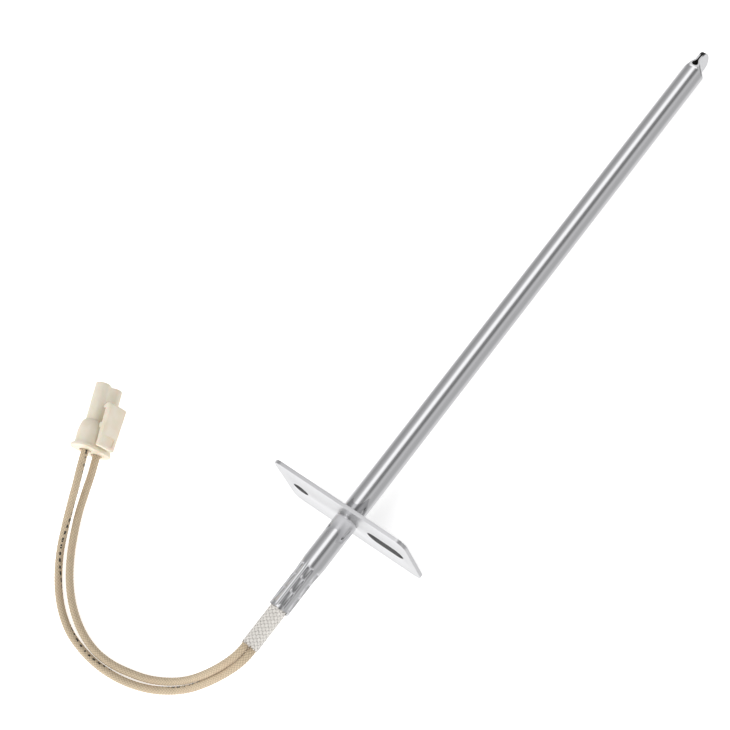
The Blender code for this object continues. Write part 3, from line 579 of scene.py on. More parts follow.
FLAT_TO_YZ = Matrix(((0, 0, 1, 0), (1, 0, 0, 0), (0, 1, 0, 0), (0, 0, 0, 1)))

# %% Sheath mesh
OUTER_RING_STEP = 0.09 * MM
INNER_RING_STEP = 0.3 * MM
outer_rings = sheath_rings(0.0, OUTER_RING_STEP)
inner_rings = sheath_rings(TUBE_WALL, INNER_RING_STEP)
sheath = new_object("probe_sheath_fine", ring_mesh("probe_sheath_fine", outer_rings + inner_rings[::-1]))
trim = plate("tip_trim", [trim_outline()], 4 * TUBE_RADIUS)
trim.data.transform(FLAT_TO_YZ)
sheath = combine(sheath, [trim], "DIFFERENCE")
shade_round(sheath.data, 32)
sheath.data.materials.clear()
sheath.data.materials.append(STEEL)
sheath.data.materials.append(BORE_SHADE_STEEL)
# Faces inside the tube, and in the slot between the lips, take the near-black steel: painted shade
for face in sheath.data.polygons:
    x, y, z = face.center
    inside = face.normal.x * x + face.normal.z * z < 0
    if y > full_tube_end + PINCH_BLEND:
        inside = abs(x) < LIP_HALF_THICKNESS - TUBE_WALL / 2
    face.material_index = 1 if inside and abs(face.normal.y) < 0.9 else 0
finish_piece(sheath, PROBE, None, "probe", "probe_sheath")

# %% [markdown]
# ## The flange
# The flange is blanked from one-millimetre sheet. A press leaves the edge on one side slightly drawn over
# and the other crisp, so both edges are softened here by a bevel with a few segments, which is what catches
# the thin bright line along the rim. The slot lets the screw find its hole, and the round hole fixes the
# place. The outline is a flat curve with its holes as inner loops.

# %% Flange
FLANGE_CORNER = 3.0 * MM
FLANGE_EDGE = 0.14 * MM
HOLE_RADIUS = 2.35 * MM
HOLE_OFFSET = 15.7 * MM
SLOT_LENGTH = 11.6 * MM
SLOT_WIDTH = 5.4 * MM
SLOT_OFFSET = 12.6 * MM


def rounded_rectangle(length, width, corner, steps):
    x = length / 2 - corner
    y = width / 2 - corner
    corners = (((x, y), 0), ((-x, y), 90), ((-x, -y), 180), ((x, -y), 270))
    return [point for centre, start in corners for point in arc(centre, corner, start, start + 90, steps)]


def obround(x, length, width, steps):
    radius = width / 2
    reach = length / 2 - radius
    return arc((x + reach, 0), radius, -90, 90, steps) + arc((x - reach, 0), radius, 90, 270, steps)


flange = plate(
    "mounting_flange_fine",
    [
        rounded_rectangle(FLANGE_LENGTH, FLANGE_WIDTH, FLANGE_CORNER, 16),
        arc((0, 0), TUBE_RADIUS - NECK_DEPTH + BORE_GAP, 0, 360, 96)[:-1],
        arc((-HOLE_OFFSET, 0), HOLE_RADIUS, 0, 360, 64)[:-1],
        obround(SLOT_OFFSET, SLOT_LENGTH, SLOT_WIDTH, 32),
    ],
    FLANGE_THICKNESS,
)
flange = round_edges(flange, FLANGE_EDGE, 3, 50)
shade_round(flange.data, 40)
for finish in (PLATE_STEEL, SHEARED_EDGE, HOLE_WALL_SHADE):
    flange.data.materials.append(finish)
# Side faces on the outline take the sheared edge; the walls of the holes take the dark steel, which is
# painted shade
for face in flange.data.polygons:
    x, y, _ = face.center
    at_rim = abs(x) > FLANGE_LENGTH / 2 - 1.2 * FLANGE_CORNER or abs(y) > FLANGE_WIDTH / 2 - FLANGE_EDGE
    on_outline = at_rim and (abs(y) > SLOT_WIDTH or abs(x) > FLANGE_LENGTH / 2 - FLANGE_EDGE)
    if abs(face.normal.z) < 0.3:
        face.material_index = 1 if on_outline else 2
across_probe = Matrix.Translation((0, FLANGE_THICKNESS / 2, 0)) @ Matrix.Rotation(pi / 2, 4, "X")
finish_piece(flange, PROBE @ across_probe, None, "probe", "mounting_flange")

# %% [markdown]
# ## Braid as a rule
# Glass braid is two families of yarns that wind opposite ways and pass over and under each other. On the
# cover of a thin lead the yarns touch all round, so the surface is a field of crowns, one at each crossing.
# The field has a formula: the two families give two phases, a checkerboard says which family is on top, and
# the top yarn is round across and dips towards its ends. Both the geometry and the finish need that
# formula, and both kinds of node tree have Math nodes, so one function writes it into either. The finish
# uses it to paint shade into the gaps between the crowns.

# %% Weave field
CROWN_DIP = 0.6
MEAN_CROWN = 0.6


def weave_field(turn, along, lay, carriers):
    """The crown's height, 0 to 1, and the place across the top yarn, -0.5 to 0.5, as sockets."""
    forward = over(along, lay)
    cells = []
    floors = []
    for join in (plus, minus):
        phase = times(join(turn, forward), carriers)
        cells.append(from_middle(math("FRACT", phase)))
        floors.append(math("FLOOR", phase))
    parity = math("FLOORED_MODULO", plus(*floors), 2.0)
    other = minus(1.0, parity)
    across = times_plus(cells[0], other, times(cells[1], parity))
    lengthwise = times_plus(cells[1], other, times(cells[0], parity))
    side = times(times(across, across), 4.0)
    crown = math("SQRT", math("MAXIMUM", minus(1.0, side), 0.0))
    bow = cosine(times(lengthwise, pi))
    dip = times_plus(bow, CROWN_DIP, 1 - CROWN_DIP)
    return times(crown, dip), across


# %% Geometry Nodes: a braided cover along a path
def new_geometry_tree(name, inputs):
    tree = bpy.data.node_groups.new(name, "GeometryNodeTree")
    for side in ("INPUT", "OUTPUT"):
        tree.interface.new_socket("Geometry", in_out=side, socket_type="NodeSocketGeometry")
    add_inputs(tree, inputs)
    return tree, tree.nodes.new("NodeGroupInput"), tree.nodes.new("NodeGroupOutput")


def end_tree(tree, given, put, geometry):
    realised = add_node(tree, "GeometryNodeRealizeInstances", {"Geometry": geometry}).outputs[0]
    smooth = add_node(tree, "GeometryNodeSetShadeSmooth", {"Geometry": realised}).outputs[0]
    links = {"Geometry": smooth, "Material": given.outputs["Material"]}
    tree.links.new(add_node(tree, "GeometryNodeSetMaterial", links).outputs[0], put.inputs["Geometry"])


def stored(geometry, name, value, kind="FLOAT"):
    links = {"Geometry": geometry, "Name": name, "Value": value}
    node = add_node(value.id_data, "GeometryNodeStoreNamedAttribute", links, data_type=kind, domain="POINT")
    return node.outputs[0]


def recalled(tree, name):
    node = add_node(tree, "GeometryNodeInputNamedAttribute", {"Name": name}, data_type="FLOAT")
    return node.outputs["Attribute"]


def circle(tree, sides, radius):
    links = {"Resolution": sides, "Radius": radius}
    return add_node(tree, "GeometryNodeCurvePrimitiveCircle", links, mode="RADIUS").outputs[0]


def skin(path, section):
    links = {"Curve": path, "Profile Curve": section, "Fill Caps": True}
    return add_node(path.id_data, "GeometryNodeCurveToMesh", links).outputs[0]


def build_braided_cover(values):
    tree, given, put = new_geometry_tree("braided cover", values)
    wanted = given.outputs
    path = add_node(tree, "GeometryNodeMeshToCurve", {"Mesh": wanted["Geometry"]}).outputs[0]
    links = {"Curve": path, "Length": wanted["Ring spacing"]}
    path = add_node(tree, "GeometryNodeResampleCurve", links, mode="LENGTH").outputs[0]
    path = stored(path, "along", add_node(tree, "GeometryNodeSplineParameter").outputs["Length"])
    number = add_node(tree, "GeometryNodeInputIndex").outputs[0]
    ring = circle(tree, wanted["Sides"], wanted["Radius"])
    ring = stored(ring, "turn", over(number, wanted["Sides"]))
    tube = skin(path, ring)
    turn = recalled(tree, "turn")
    along = recalled(tree, "along")
    height, _ = weave_field(turn, along, wanted["Lay length"], wanted["Carriers each way"])
    lift = times(minus(height, MEAN_CROWN), wanted["Relief"])
    outwards = add_node(tree, "GeometryNodeInputNormal").outputs[0]
    offset = vector_math("SCALE", outwards, {"Scale": lift})
    tube = add_node(tree, "GeometryNodeSetPosition", {"Geometry": tube, "Offset": offset}).outputs[0]
    angle = times(turn, 2 * pi)
    place = combined(cosine(angle), sine(angle), along)
    end_tree(tree, given, put, stored(tube, "weave", place, "FLOAT_VECTOR"))
    return tree


def grow(obj, tree, values):
    """Gives the object a Geometry Nodes modifier with these inputs, and bakes what it makes."""
    modifier = obj.modifiers.new(tree.name, "NODES")
    modifier.node_group = tree
    for item in tree.interface.items_tree:
        if item.item_type == "SOCKET" and item.in_out == "INPUT" and item.name in values:
            modifier[item.identifier] = values[item.name]
    return bake(obj)


# %% Shader group: woven yarn
LEAD_LAY = 7.6 * MM
LEAD_CARRIERS = 8.0
LEAD_CROWN = (0.66, 0.54, 0.38, 1)
# Colour in the gaps between the yarns: painted shade
LEAD_GAP_SHADE = (0.20, 0.14, 0.08, 1)
LEAD_STAIN = (0.58, 0.42, 0.29, 1)
FIBRES_ACROSS = 6
DASH_LENGTH = 1.9 * MM
DASH_HALF_WIDTH = 0.04
DASH_SHARE_LEVEL = -0.4
DRIFT_PER_METRE = 190.0
DRIFT_TURN = 0.12
PATCHES_PER_METRE = 140.0
PATCH_LEVEL = 0.45
TRACER_COLOUR = (0.03, 0.028, 0.025, 1)


def build_woven_yarn():
    tree, given, put = new_group(
        "woven yarn",
        {
            "Place": (1, 0, 0),
            "Lay length": LEAD_LAY,
            "Carriers each way": LEAD_CARRIERS,
            "Crown": LEAD_CROWN,
            "Gap shade": LEAD_GAP_SHADE,
            "Stain": LEAD_STAIN,
        },
        {"Colour": "Color", "Height": "Float", "Turn": "Float"},
    )
    wanted = given.outputs
    parts = separated(wanted["Place"])
    turn = over(math("ARCTAN2", parts[1], parts[0]), 2 * pi)
    height, across = weave_field(turn, parts[2], wanted["Lay length"], wanted["Carriers each way"])
    fibre = sine(times(across, 2 * pi * FIBRES_ACROSS))
    spot = object_place(tree)
    uneven = from_middle(noise(spot, 900.0, 3.0))
    blotch = from_middle(noise(spot, 120.0, 2.0))
    # The colour runs from the dark gap colour up to the crown colour with the crown's height: painted shade
    # in the crevices between yarns, with random tone and fibre lines on top
    level = times_plus(uneven, 0.35, math("POWER", height, 0.55))
    level = times_plus(fibre, 0.05, level)
    yarn = mix_colour(level, wanted["Gap shade"], wanted["Crown"])
    stain = times(math("MAXIMUM", blotch, 0.0), 1.6)
    tree.links.new(mix_colour(stain, yarn, wanted["Stain"]), put.inputs["Colour"])
    tree.links.new(times_plus(fibre, 0.12, height), put.inputs["Height"])
    tree.links.new(turn, put.inputs["Turn"])
    return tree


WOVEN_YARN = build_woven_yarn()


def held_place(tree, offset):
    """The weave's place for a straight lead inside the sheath, from its object coordinates."""
    back = PAIR.inverted()
    links = {"Vector": object_place(tree), "Location": back.to_translation(), "Rotation": back.to_euler()}
    parts = separated(add_node(tree, "ShaderNodeMapping", links).outputs[0])
    return combined(minus(parts[0], offset), parts[2], parts[1])


def with_tracer(colour, turn, along):
    """The colour with one dark yarn, which shows as patches of dashes along one side of the cover."""
    drift = times(sine(times(along, DRIFT_PER_METRE)), DRIFT_TURN)
    off = math("ABSOLUTE", math("WRAP", minus(turn, drift), 0.5, -0.5))
    near = math("LESS_THAN", off, DASH_HALF_WIDTH)
    dashes = sine(times(along, 2 * pi / DASH_LENGTH))
    shown = math("GREATER_THAN", dashes, DASH_SHARE_LEVEL)
    patches = {"W": times(along, PATCHES_PER_METRE)}
    patchy = add_node(along.id_data, "ShaderNodeTexNoise", patches, noise_dimensions="1D").outputs["Fac"]
    seen = math("GREATER_THAN", patchy, PATCH_LEVEL)
    mask = times(times(near, shown), seen)
    return mix_colour(mask, colour, TRACER_COLOUR)


def braid_material(name, tracer=False, held_offset=None):
    """Woven glass yarn. A lead that is held straight takes its weave from its distance to the axis."""
    values = {"Roughness": 0.75, "Specular IOR Level": 0.35, "Sheen Weight": 0.15}
    material, tree, shader = new_material(name, values)
    if held_offset is None:
        place = add_node(tree, "ShaderNodeAttribute", attribute_name="weave").outputs["Vector"]
    else:
        place = held_place(tree, held_offset)
    yarn = add_node(tree, "ShaderNodeGroup", {"Place": place}, node_tree=WOVEN_YARN).outputs
    colour = yarn["Colour"]
    if tracer:
        colour = with_tracer(colour, yarn["Turn"], separated(place)[2])
    tree.links.new(colour, shader.inputs["Base Color"])
    link_bump(tree, shader, yarn["Height"], 0.6, 0.05 * MM)
    return material


PLAIN_BRAID = braid_material("beige_braid_plain")
TRACER_BRAID = braid_material("beige_braid_tracer", tracer=True)

# %% [markdown]
# ## The two leads
# The leads lie loose, so their path is a list of points, the same ones that the CAD tubes
# follow. A smooth curve is read through them, and the braided cover grows along it. Each lead is a free
# cord: it leaves the sleeve's mouth and ends in the plug.

# %% Lead routes, in millimetres
LEAD_RADIUS = 1.0 * MM
LEAD_A_ROUTE = (
    (0.94, -102.75, 14.34), (0.88, -104.6, 14.4), (0.1, -107.4, 13.8), (-1.6, -110.4, 12.4),
    (-4.0, -113.5, 10.4), (-7.5, -117.1, 7.5), (-11.6, -120.5, 4.6), (-16.3, -123.6, 2.5),
    (-21.5, -126.3, 1.4), (-27.2, -128.3, 1.05), (-33.1, -129.4, 1.05), (-39.1, -129.6, 1.05),
    (-45.0, -128.9, 1.05), (-50.8, -127.3, 1.05), (-56.1, -124.5, 1.05), (-60.8, -120.8, 1.05),
    (-64.9, -116.3, 1.2), (-68.2, -111.3, 1.8), (-70.5, -106.0, 3.0), (-72.3, -100.6, 4.7),
    (-73.8, -95.6, 6.3), (-75.45, -91.2, 7.3), (-76.62, -88.45, 7.62), (-77.87, -85.7, 7.67),
    (-79.32, -82.63, 7.67),
)
LEAD_B_ROUTE = (
    (-0.94, -102.7, 15.27), (-1.02, -104.5, 15.3), (-1.85, -107.21, 14.67), (-3.61, -110.23, 13.25),
    (-6.03, -113.18, 11.18), (-9.33, -116.26, 8.26), (-13.38, -119.25, 5.13), (-18.02, -122.0, 2.89),
    (-23.31, -124.43, 1.57), (-28.9, -126.1, 1.1), (-34.7, -127.2, 1.05), (-40.7, -127.2, 1.05),
    (-46.5, -125.8, 1.05), (-51.9, -123.3, 1.05), (-56.8, -119.9, 1.05), (-61.1, -115.8, 1.05),
    (-64.8, -111.1, 1.1), (-67.9, -106.0, 1.35), (-70.5, -100.6, 1.9), (-72.4, -95.25, 2.6),
    (-73.95, -90.45, 3.25), (-75.09, -87.71, 3.46), (-76.36, -84.99, 3.5), (-77.8, -81.91, 3.5),
)


def smooth_route(route, steps=8):
    """A smooth curve through the points, passing each one in turn."""
    knots = [Vector(point) * MM for point in route]
    knots = [2 * knots[0] - knots[1]] + knots + [2 * knots[-1] - knots[-2]]
    fine = []
    for before, start, end, after in zip(knots, knots[1:], knots[2:], knots[3:]):
        for k in range(steps):
            t = k / steps
            linear = (end - before) * t
            square = (2 * before - 5 * start + 4 * end - after) * t**2
            cube = (3 * start - before - 3 * end + after) * t**3
            fine.append(0.5 * (2 * start + linear + square + cube))
    fine.append(knots[-2])
    return fine


def path_length(points):
    return sum((second - first).length for first, second in zip(points, points[1:]))


def path_object(name, points):
    mesh = bpy.data.meshes.new(name)
    mesh.from_pydata([tuple(p) for p in points], [(k, k + 1) for k in range(len(points) - 1)], [])
    return new_object(name, mesh)


# %% Leads
COVER_VALUES = {
    "Radius": LEAD_RADIUS * 1.04,
    "Lay length": LEAD_LAY,
    "Carriers each way": LEAD_CARRIERS,
    "Relief": 0.11 * MM,
    "Ring spacing": 0.12 * MM,
    "Sides": 64,
    "Material": PLAIN_BRAID,
}
BRAIDED_COVER = build_braided_cover(COVER_VALUES)
for side, route, material in (("a", LEAD_A_ROUTE, TRACER_BRAID), ("b", LEAD_B_ROUTE, PLAIN_BRAID)):
    points = smooth_route(route)
    path = path_object(f"lead_{side}_braid", points)
    lead = grow(path, BRAIDED_COVER, {**COVER_VALUES, "Material": material})
    finish_piece(lead, Matrix.Identity(4), None, "probe", f"lead_{side}")
    print("lead", side, round(path_length(points) / MM, 1), "mm")

# %% [markdown]
# ## The sleeve
# A fibreglass sleeve is a loose tube braid: ten flat bundles of glass wind each way, and each passes over
# one bundle and under the next. It covers both leads where the crimp grips them, so that the stamped
# pockets do not cut into their covers. Each bundle is a helix whose radius rises and falls once for each
# bundle that it crosses, out of step with the family that winds the other way. Geometry Nodes makes one
# helix, copies it round the axis, and gives it a flat section. The liner is the soft inside of the tube,
# and reaches as far as the leads do.

# %% Geometry Nodes: a braided sleeve
SECTION_SIDES = 12
MOST_FRAYED = 0.7


def bundle_family(tree, wanted, direction):
    """One family of flat bundles round Z, from the mouth at z = 0 up into the sheath."""
    turns = over(wanted["Length"], wanted["Lay length"])
    links = {
        "Resolution": wanted["Steps per turn"],
        "Rotations": turns,
        "Start Radius": wanted["Radius"],
        "End Radius": wanted["Radius"],
        "Height": wanted["Length"],
        "Reverse": direction < 0,
    }
    helix = add_node(tree, "GeometryNodeCurveSpiral", links).outputs[0]
    links = {"Geometry": helix, "Amount": wanted["Bundles each way"]}
    copies = add_node(tree, "GeometryNodeDuplicateElements", links, domain="SPLINE").outputs
    number = copies["Duplicate Index"]
    place = add_node(tree, "GeometryNodeInputPosition").outputs[0]
    height = separated(place)[2]
    turned_by = times(over(number, wanted["Bundles each way"]), 2 * pi)
    links = {"Vector": place, "Angle": turned_by}
    spin = add_node(tree, "ShaderNodeVectorRotate", links, rotation_type="Z_AXIS").outputs[0]
    lays = over(height, wanted["Lay length"])
    crossings = times(lays, wanted["Bundles each way"])
    wave = cosine(times(crossings, 2 * pi))
    crest = times(wave, direction)
    uneven = from_middle(noise(spin, 700.0, 2.0))
    rise = plus(crest, times(uneven, 0.6))
    rise = times(rise, wanted["Weave height"])
    squeezed = between(height, wanted["Squeeze start"], wanted["Squeeze end"])
    rise = minus(rise, times(squeezed, wanted["Squeeze"]))
    share = plus(over(rise, wanted["Radius"]), 1.0)
    placed = vector_math("MULTIPLY", spin, {1: combined(share, share, 1.0)})
    links = {"Value": height, "From Max": wanted["Frayed length"], "To Min": 1.0, "To Max": 0.0}
    near_mouth = add_node(tree, "ShaderNodeMapRange", links).outputs["Result"]
    links = {"W": plus(number, 20.0 * direction)}
    own_end = add_node(tree, "ShaderNodeTexWhiteNoise", links, noise_dimensions="1D").outputs["Value"]
    frayed = times(times(near_mouth, own_end), wanted["Frayed length"])
    drop = combined(z=times(frayed, -MOST_FRAYED))
    placed = vector_math("ADD", placed, {1: drop})
    links = {"Geometry": stored(copies["Geometry"], "crest", crest), "Position": placed}
    return add_node(tree, "GeometryNodeSetPosition", links).outputs[0]


def build_braided_sleeve(values):
    tree, given, put = new_geometry_tree("braided sleeve", values)
    wanted = given.outputs
    families = add_node(tree, "GeometryNodeJoinGeometry")
    for direction in (1, -1):
        tree.links.new(bundle_family(tree, wanted, direction), families.inputs[0])
    upright = add_node(tree, "GeometryNodeSetCurveNormal", {"Curve": families.outputs[0]}, mode="Z_UP")
    flat = combined(wanted["Bundle thickness"], wanted["Bundle width"], 1.0)
    links = {"Geometry": circle(tree, SECTION_SIDES, 0.5), "Scale": flat}
    section = add_node(tree, "GeometryNodeTransform", links).outputs[0]
    across = add_node(tree, "GeometryNodeInputIndex").outputs[0]
    section = stored(section, "across", over(across, SECTION_SIDES))
    end_tree(tree, given, put, skin(upright.outputs[0], section))
    return tree


# %% Sleeve
LEAD_OFFSET = 1.05 * MM
ALONG_Y = Matrix.Rotation(-pi / 2, 4, "X")
SLEEVE_RADIUS = 2.19 * MM
SLEEVE_END_IN_SHEATH = -24.0 * MM
SQUEEZE_START = -28.9 * MM
SQUEEZE_END = -27.2 * MM
LET_GO_START = -14.3 * MM
LET_GO_END = -12.1 * MM
LINER_RADIUS = 2.07 * MM
SQUEEZED_LINER_RADIUS = 1.66 * MM
LINER_WALL = 0.06 * MM
LINER_SETBACK = 0.1 * MM
LINER_END = 121.9 * MM
FILAMENTS_ROUND = 14


def glass_material(name, colour, shade):
    """Bundles of straight white glass filaments, with painted shade at a bundle's edges and where it dips
    under.
    """
    material, tree, shader = new_material(name, {"Roughness": 0.6, "Sheen Weight": 0.2})
    across = add_node(tree, "ShaderNodeAttribute", attribute_name="across").outputs["Fac"]
    filament = sine(times(across, 2 * pi * FILAMENTS_ROUND))
    # Painted shade: greyer towards each edge of a bundle, where its flat section turns away
    edge = math("ABSOLUTE", cosine(times(across, 2 * pi)))
    edge = minus(1.0, edge)
    uneven = noise(object_place(tree), 1500.0, 3.0)
    # Painted shade: darker where a bundle dips under the bundles that cross it
    crest = add_node(tree, "ShaderNodeAttribute", attribute_name="crest").outputs["Fac"]
    sunk = times_plus(crest, -0.38, 0.38)
    dark = times_plus(math("POWER", edge, 2.0), 0.55, sunk)
    dark = times_plus(from_middle(uneven), 0.6, dark)
    dark = times_plus(filament, 0.05, dark)
    tree.links.new(mix_colour(dark, (*colour, 1), (*shade, 1)), shader.inputs["Base Color"])
    link_bump(tree, shader, plus(filament, uneven), 0.4, 0.02 * MM)
    return material


def mineral(name, light, dark, scale, roughness, relief=0.01 * MM, subsurface=0.0):
    """An even, slightly mottled material: fired ceramic, cement or moulded plastic."""
    values = {"Subsurface Weight": subsurface, "Subsurface Scale": 1.2 * MM}
    material, tree, shader = new_material(name, values)
    spot = object_place(tree)
    mottle = noise(spot, scale, 5.0)
    fine = noise(spot, scale * 14, 2.0)
    share = between(mottle, 0.35, 0.65)
    tree.links.new(mix_colour(share, (*light, 1), (*dark, 1)), shader.inputs["Base Color"])
    rough = times_plus(from_middle(fine), 0.12, roughness)
    tree.links.new(rough, shader.inputs["Roughness"])
    link_bump(tree, shader, plus(fine, mottle), 0.35, relief)
    return material


WHITE_GLASS = glass_material("white_glass_braid", (0.86, 0.83, 0.78), (0.42, 0.385, 0.35))
LINER_GLASS = mineral(
    "white_glass_liner", (0.74, 0.73, 0.70), (0.62, 0.61, 0.58), 900.0, 0.8, relief=0.04 * MM
)
SLEEVE_VALUES = {
    "Radius": SLEEVE_RADIUS,
    "Length": SLEEVE_END_IN_SHEATH - sleeve_mouth,
    "Lay length": 11.5 * MM,
    "Bundles each way": 10,
    "Bundle width": 0.86 * MM,
    "Bundle thickness": 0.15 * MM,
    "Weave height": 0.10 * MM,
    "Squeeze": 0.55 * MM,
    "Squeeze start": SQUEEZE_START - sleeve_mouth,
    "Squeeze end": SQUEEZE_END - sleeve_mouth,
    "Frayed length": 0.5 * MM,
    "Steps per turn": 90,
    "Material": WHITE_GLASS,
}
guide = path_object("fibreglass_sleeve_braid", [(0, 0, 0), (0, 0, MM)])
bundles = grow(guide, build_braided_sleeve(SLEEVE_VALUES), SLEEVE_VALUES)
at_mouth = PAIR @ Matrix.Translation((0, sleeve_mouth, 0)) @ ALONG_Y
finish_piece(bundles, at_mouth, None, "probe", "fibreglass_sleeve")
liner_inside = [
    (LINER_RADIUS, sleeve_mouth + LINER_SETBACK), (LINER_RADIUS, SQUEEZE_START),
    (SQUEEZED_LINER_RADIUS, SQUEEZE_END), (SQUEEZED_LINER_RADIUS, LET_GO_START),
    (LINER_RADIUS, LET_GO_END), (LINER_RADIUS, LINER_END),
]
liner_outside = [(radius + LINER_WALL, y) for radius, y in reversed(liner_inside)]
liner = turned("fibreglass_sleeve_liner", liner_outside + liner_inside, 72)
shade_round(liner.data)
finish_piece(liner, PAIR @ ALONG_Y, LINER_GLASS, "probe", "fibreglass_sleeve")

# %% [markdown]
# ## The plug
# The housing is one nylon moulding: two round silos, one for each contact, with a web between them, a wide
# rear body that the silos grow out of through a dome, and a rim round the rear. The latch is an arm that
# rocks on a post, with a hook at its front and a shallow thumb pad behind the pivot. A mould leaves no
# sharp outer edge, so every shape is rounded before the shapes are joined. The joints between them stay
# crisp, as they do in a mould.

# %% Plug housing
PLUG_AT = Vector((-77.12, -85.354, 5.586)) * MM
PLUG_HEADING = radians(115)
PLUG_ROLL = radians(68)
PLUG_PLACE = (
    Matrix.Translation(PLUG_AT)
    @ Matrix.Rotation(PLUG_HEADING + pi / 2, 4, "Z")
    @ Matrix.Rotation(pi / 2, 4, "X")
    @ Matrix.Rotation(PLUG_ROLL, 4, "Z")
)
PLUG_PITCH = 4.5 * MM
PLUG_LENGTH = 19.5 * MM
SILO_RADIUS = 2.19 * MM
SILO_EDGE = 0.2 * MM
PLUG_BORE = 1.5 * MM
REAR_BODY_RADIUS = 3.5 * MM
REAR_BODY_LENGTH = 8.4 * MM
DOME_LENGTH = 4.6 * MM
WEB_THICKNESS = 3.7 * MM
RIM_THICKNESS = 0.8 * MM
RIM_OVERHANG = 0.7 * MM
RIM_CORNER = 2.8 * MM
MOULD_EDGE = 0.22 * MM
WEB_SETBACK = 0.3 * MM
COLLAR_EMBEDDED = 0.2 * MM
COLLAR_REACH = 0.22 * MM
BORE_CHAMFER = 0.2 * MM
BORE_LEAD_IN = 0.3 * MM


def dome_profile():
    steps = 20
    straight = REAR_BODY_LENGTH - DOME_LENGTH
    inset = REAR_BODY_RADIUS - SILO_RADIUS
    points = [(REAR_BODY_RADIUS, 0.0)]
    for k in range(steps + 1):
        angle = pi / 2 * k / steps
        points.append((SILO_RADIUS + inset * cos(angle), straight + DOME_LENGTH * sin(angle)))
    return points


def block(name, size, centre):
    mesh = bpy.data.meshes.new(name)
    shape = bmesh.new()
    bmesh.ops.create_cube(shape, size=1.0)
    bmesh.ops.scale(shape, vec=size, verts=shape.verts)
    bmesh.ops.translate(shape, vec=centre, verts=shape.verts)
    shape.to_mesh(mesh)
    shape.free()
    return new_object(name, mesh)


def moved(obj, x, y=0.0, z=0.0):
    obj.data.transform(Matrix.Translation((x, y, z)))
    return obj


silo_profile = [(0, PLUG_LENGTH)]
silo_profile += arc((SILO_RADIUS - SILO_EDGE, PLUG_LENGTH - SILO_EDGE), SILO_EDGE, 90, 0, 8)
silo_profile += dome_profile()[::-1] + [(0, 0)]
side_outline = dome_profile()
side_outline += [(-radius, height) for radius, height in reversed(side_outline)]
rear_body = plate("rear_body", [side_outline], PLUG_PITCH)
rear_body.data.transform(FLAT_TO_YZ)
web_bottom = REAR_BODY_LENGTH - DOME_LENGTH
web_top = PLUG_LENGTH - WEB_SETBACK
web = block("web", (PLUG_PITCH, WEB_THICKNESS, web_top - web_bottom), (0, 0, (web_top + web_bottom) / 2))
rim_length = PLUG_PITCH + 2 * REAR_BODY_RADIUS + RIM_OVERHANG
rim = plate("rim", [rounded_rectangle(rim_length, 2 * REAR_BODY_RADIUS, RIM_CORNER, 16)], RIM_THICKNESS)
rim = moved(round_edges(rim, MOULD_EDGE), RIM_OVERHANG / 2, 0, RIM_THICKNESS / 2)
collar_profile = [
    (PLUG_BORE - COLLAR_EMBEDDED, COLLAR_EMBEDDED), (PLUG_BORE + 0.55 * MM, COLLAR_EMBEDDED),
    (PLUG_BORE + 0.5 * MM, -0.12 * MM), (PLUG_BORE + 0.38 * MM, -COLLAR_REACH),
    (PLUG_BORE - COLLAR_EMBEDDED, -COLLAR_REACH),
]
second_silo = moved(turned("second_silo", silo_profile, 96), -PLUG_PITCH / 2)
joined = [second_silo, rear_body, round_edges(web, MOULD_EDGE), rim]
joined += [moved(turned("collar", collar_profile, 64), sign * PLUG_PITCH / 2) for sign in (1, -1)]
housing = moved(turned("plug_housing_fine", silo_profile, 96), PLUG_PITCH / 2)
housing = combine(housing, joined, "UNION")
bore_profile = [
    (0, PLUG_LENGTH + MM), (PLUG_BORE + MM, PLUG_LENGTH + MM), (PLUG_BORE + BORE_CHAMFER, PLUG_LENGTH),
    (PLUG_BORE, PLUG_LENGTH - BORE_LEAD_IN), (PLUG_BORE, 0.1 * MM),
    (PLUG_BORE + BORE_CHAMFER, -COLLAR_REACH), (PLUG_BORE + BORE_CHAMFER, -MM), (0, -MM),
]
bores = [moved(turned("plug_bore", bore_profile, 72), sign * PLUG_PITCH / 2) for sign in (1, -1)]
housing = combine(housing, bores, "DIFFERENCE")
shade_round(housing.data, 32)
NYLON = mineral("ivory_nylon", (0.83, 0.77, 0.65), (0.80, 0.725, 0.58), 260.0, 0.36, subsurface=0.25)
finish_piece(housing, PLUG_PLACE, NYLON, "probe", "plug_housing")

# %% Plug latch
LATCH_WIDTH = 6.2 * MM
LATCH_THICKNESS = 1.1 * MM
LATCH_STANDOFF = 0.9 * MM
LATCH_PIVOT = 7.0 * MM
LATCH_REAR = 0.9 * MM - LATCH_PIVOT
LATCH_FRONT = 13.6 * MM - LATCH_PIVOT
HOOK_LENGTH = 1.5 * MM
HOOK_DEPTH = 1.0 * MM
POST = 0.8 * MM
LATCH_RISE = 0.9 * MM
POST_GAP = 0.3 * MM
LATCH_EDGE = 0.28 * MM
PAD_SIZE = (4.4 * MM, 2.6 * MM)
PAD_CORNER = 0.8 * MM
PAD_THICKNESS = 0.7 * MM
PAD_RAISE = 0.2 * MM
PAD_TO_REAR = 2.1 * MM
latch_low = LATCH_STANDOFF
latch_high = LATCH_STANDOFF + LATCH_THICKNESS
hook_start = LATCH_FRONT - HOOK_LENGTH
latch_outline = [
    (latch_high, LATCH_REAR), (latch_high + LATCH_RISE, LATCH_FRONT - LATCH_THICKNESS / 2),
    (latch_high, LATCH_FRONT), (latch_low, LATCH_FRONT),
    (latch_low - HOOK_DEPTH, hook_start + LATCH_THICKNESS / 2), (latch_low - HOOK_DEPTH, hook_start),
    (latch_low, hook_start), (latch_low, POST), (POST_GAP, POST), (POST_GAP, -POST), (latch_low, -POST),
    (latch_low, LATCH_REAR),
]
latch = plate("plug_latch_fine", [latch_outline], LATCH_WIDTH)
latch.data.transform(FLAT_TO_YZ)
latch = round_edges(latch, LATCH_EDGE)
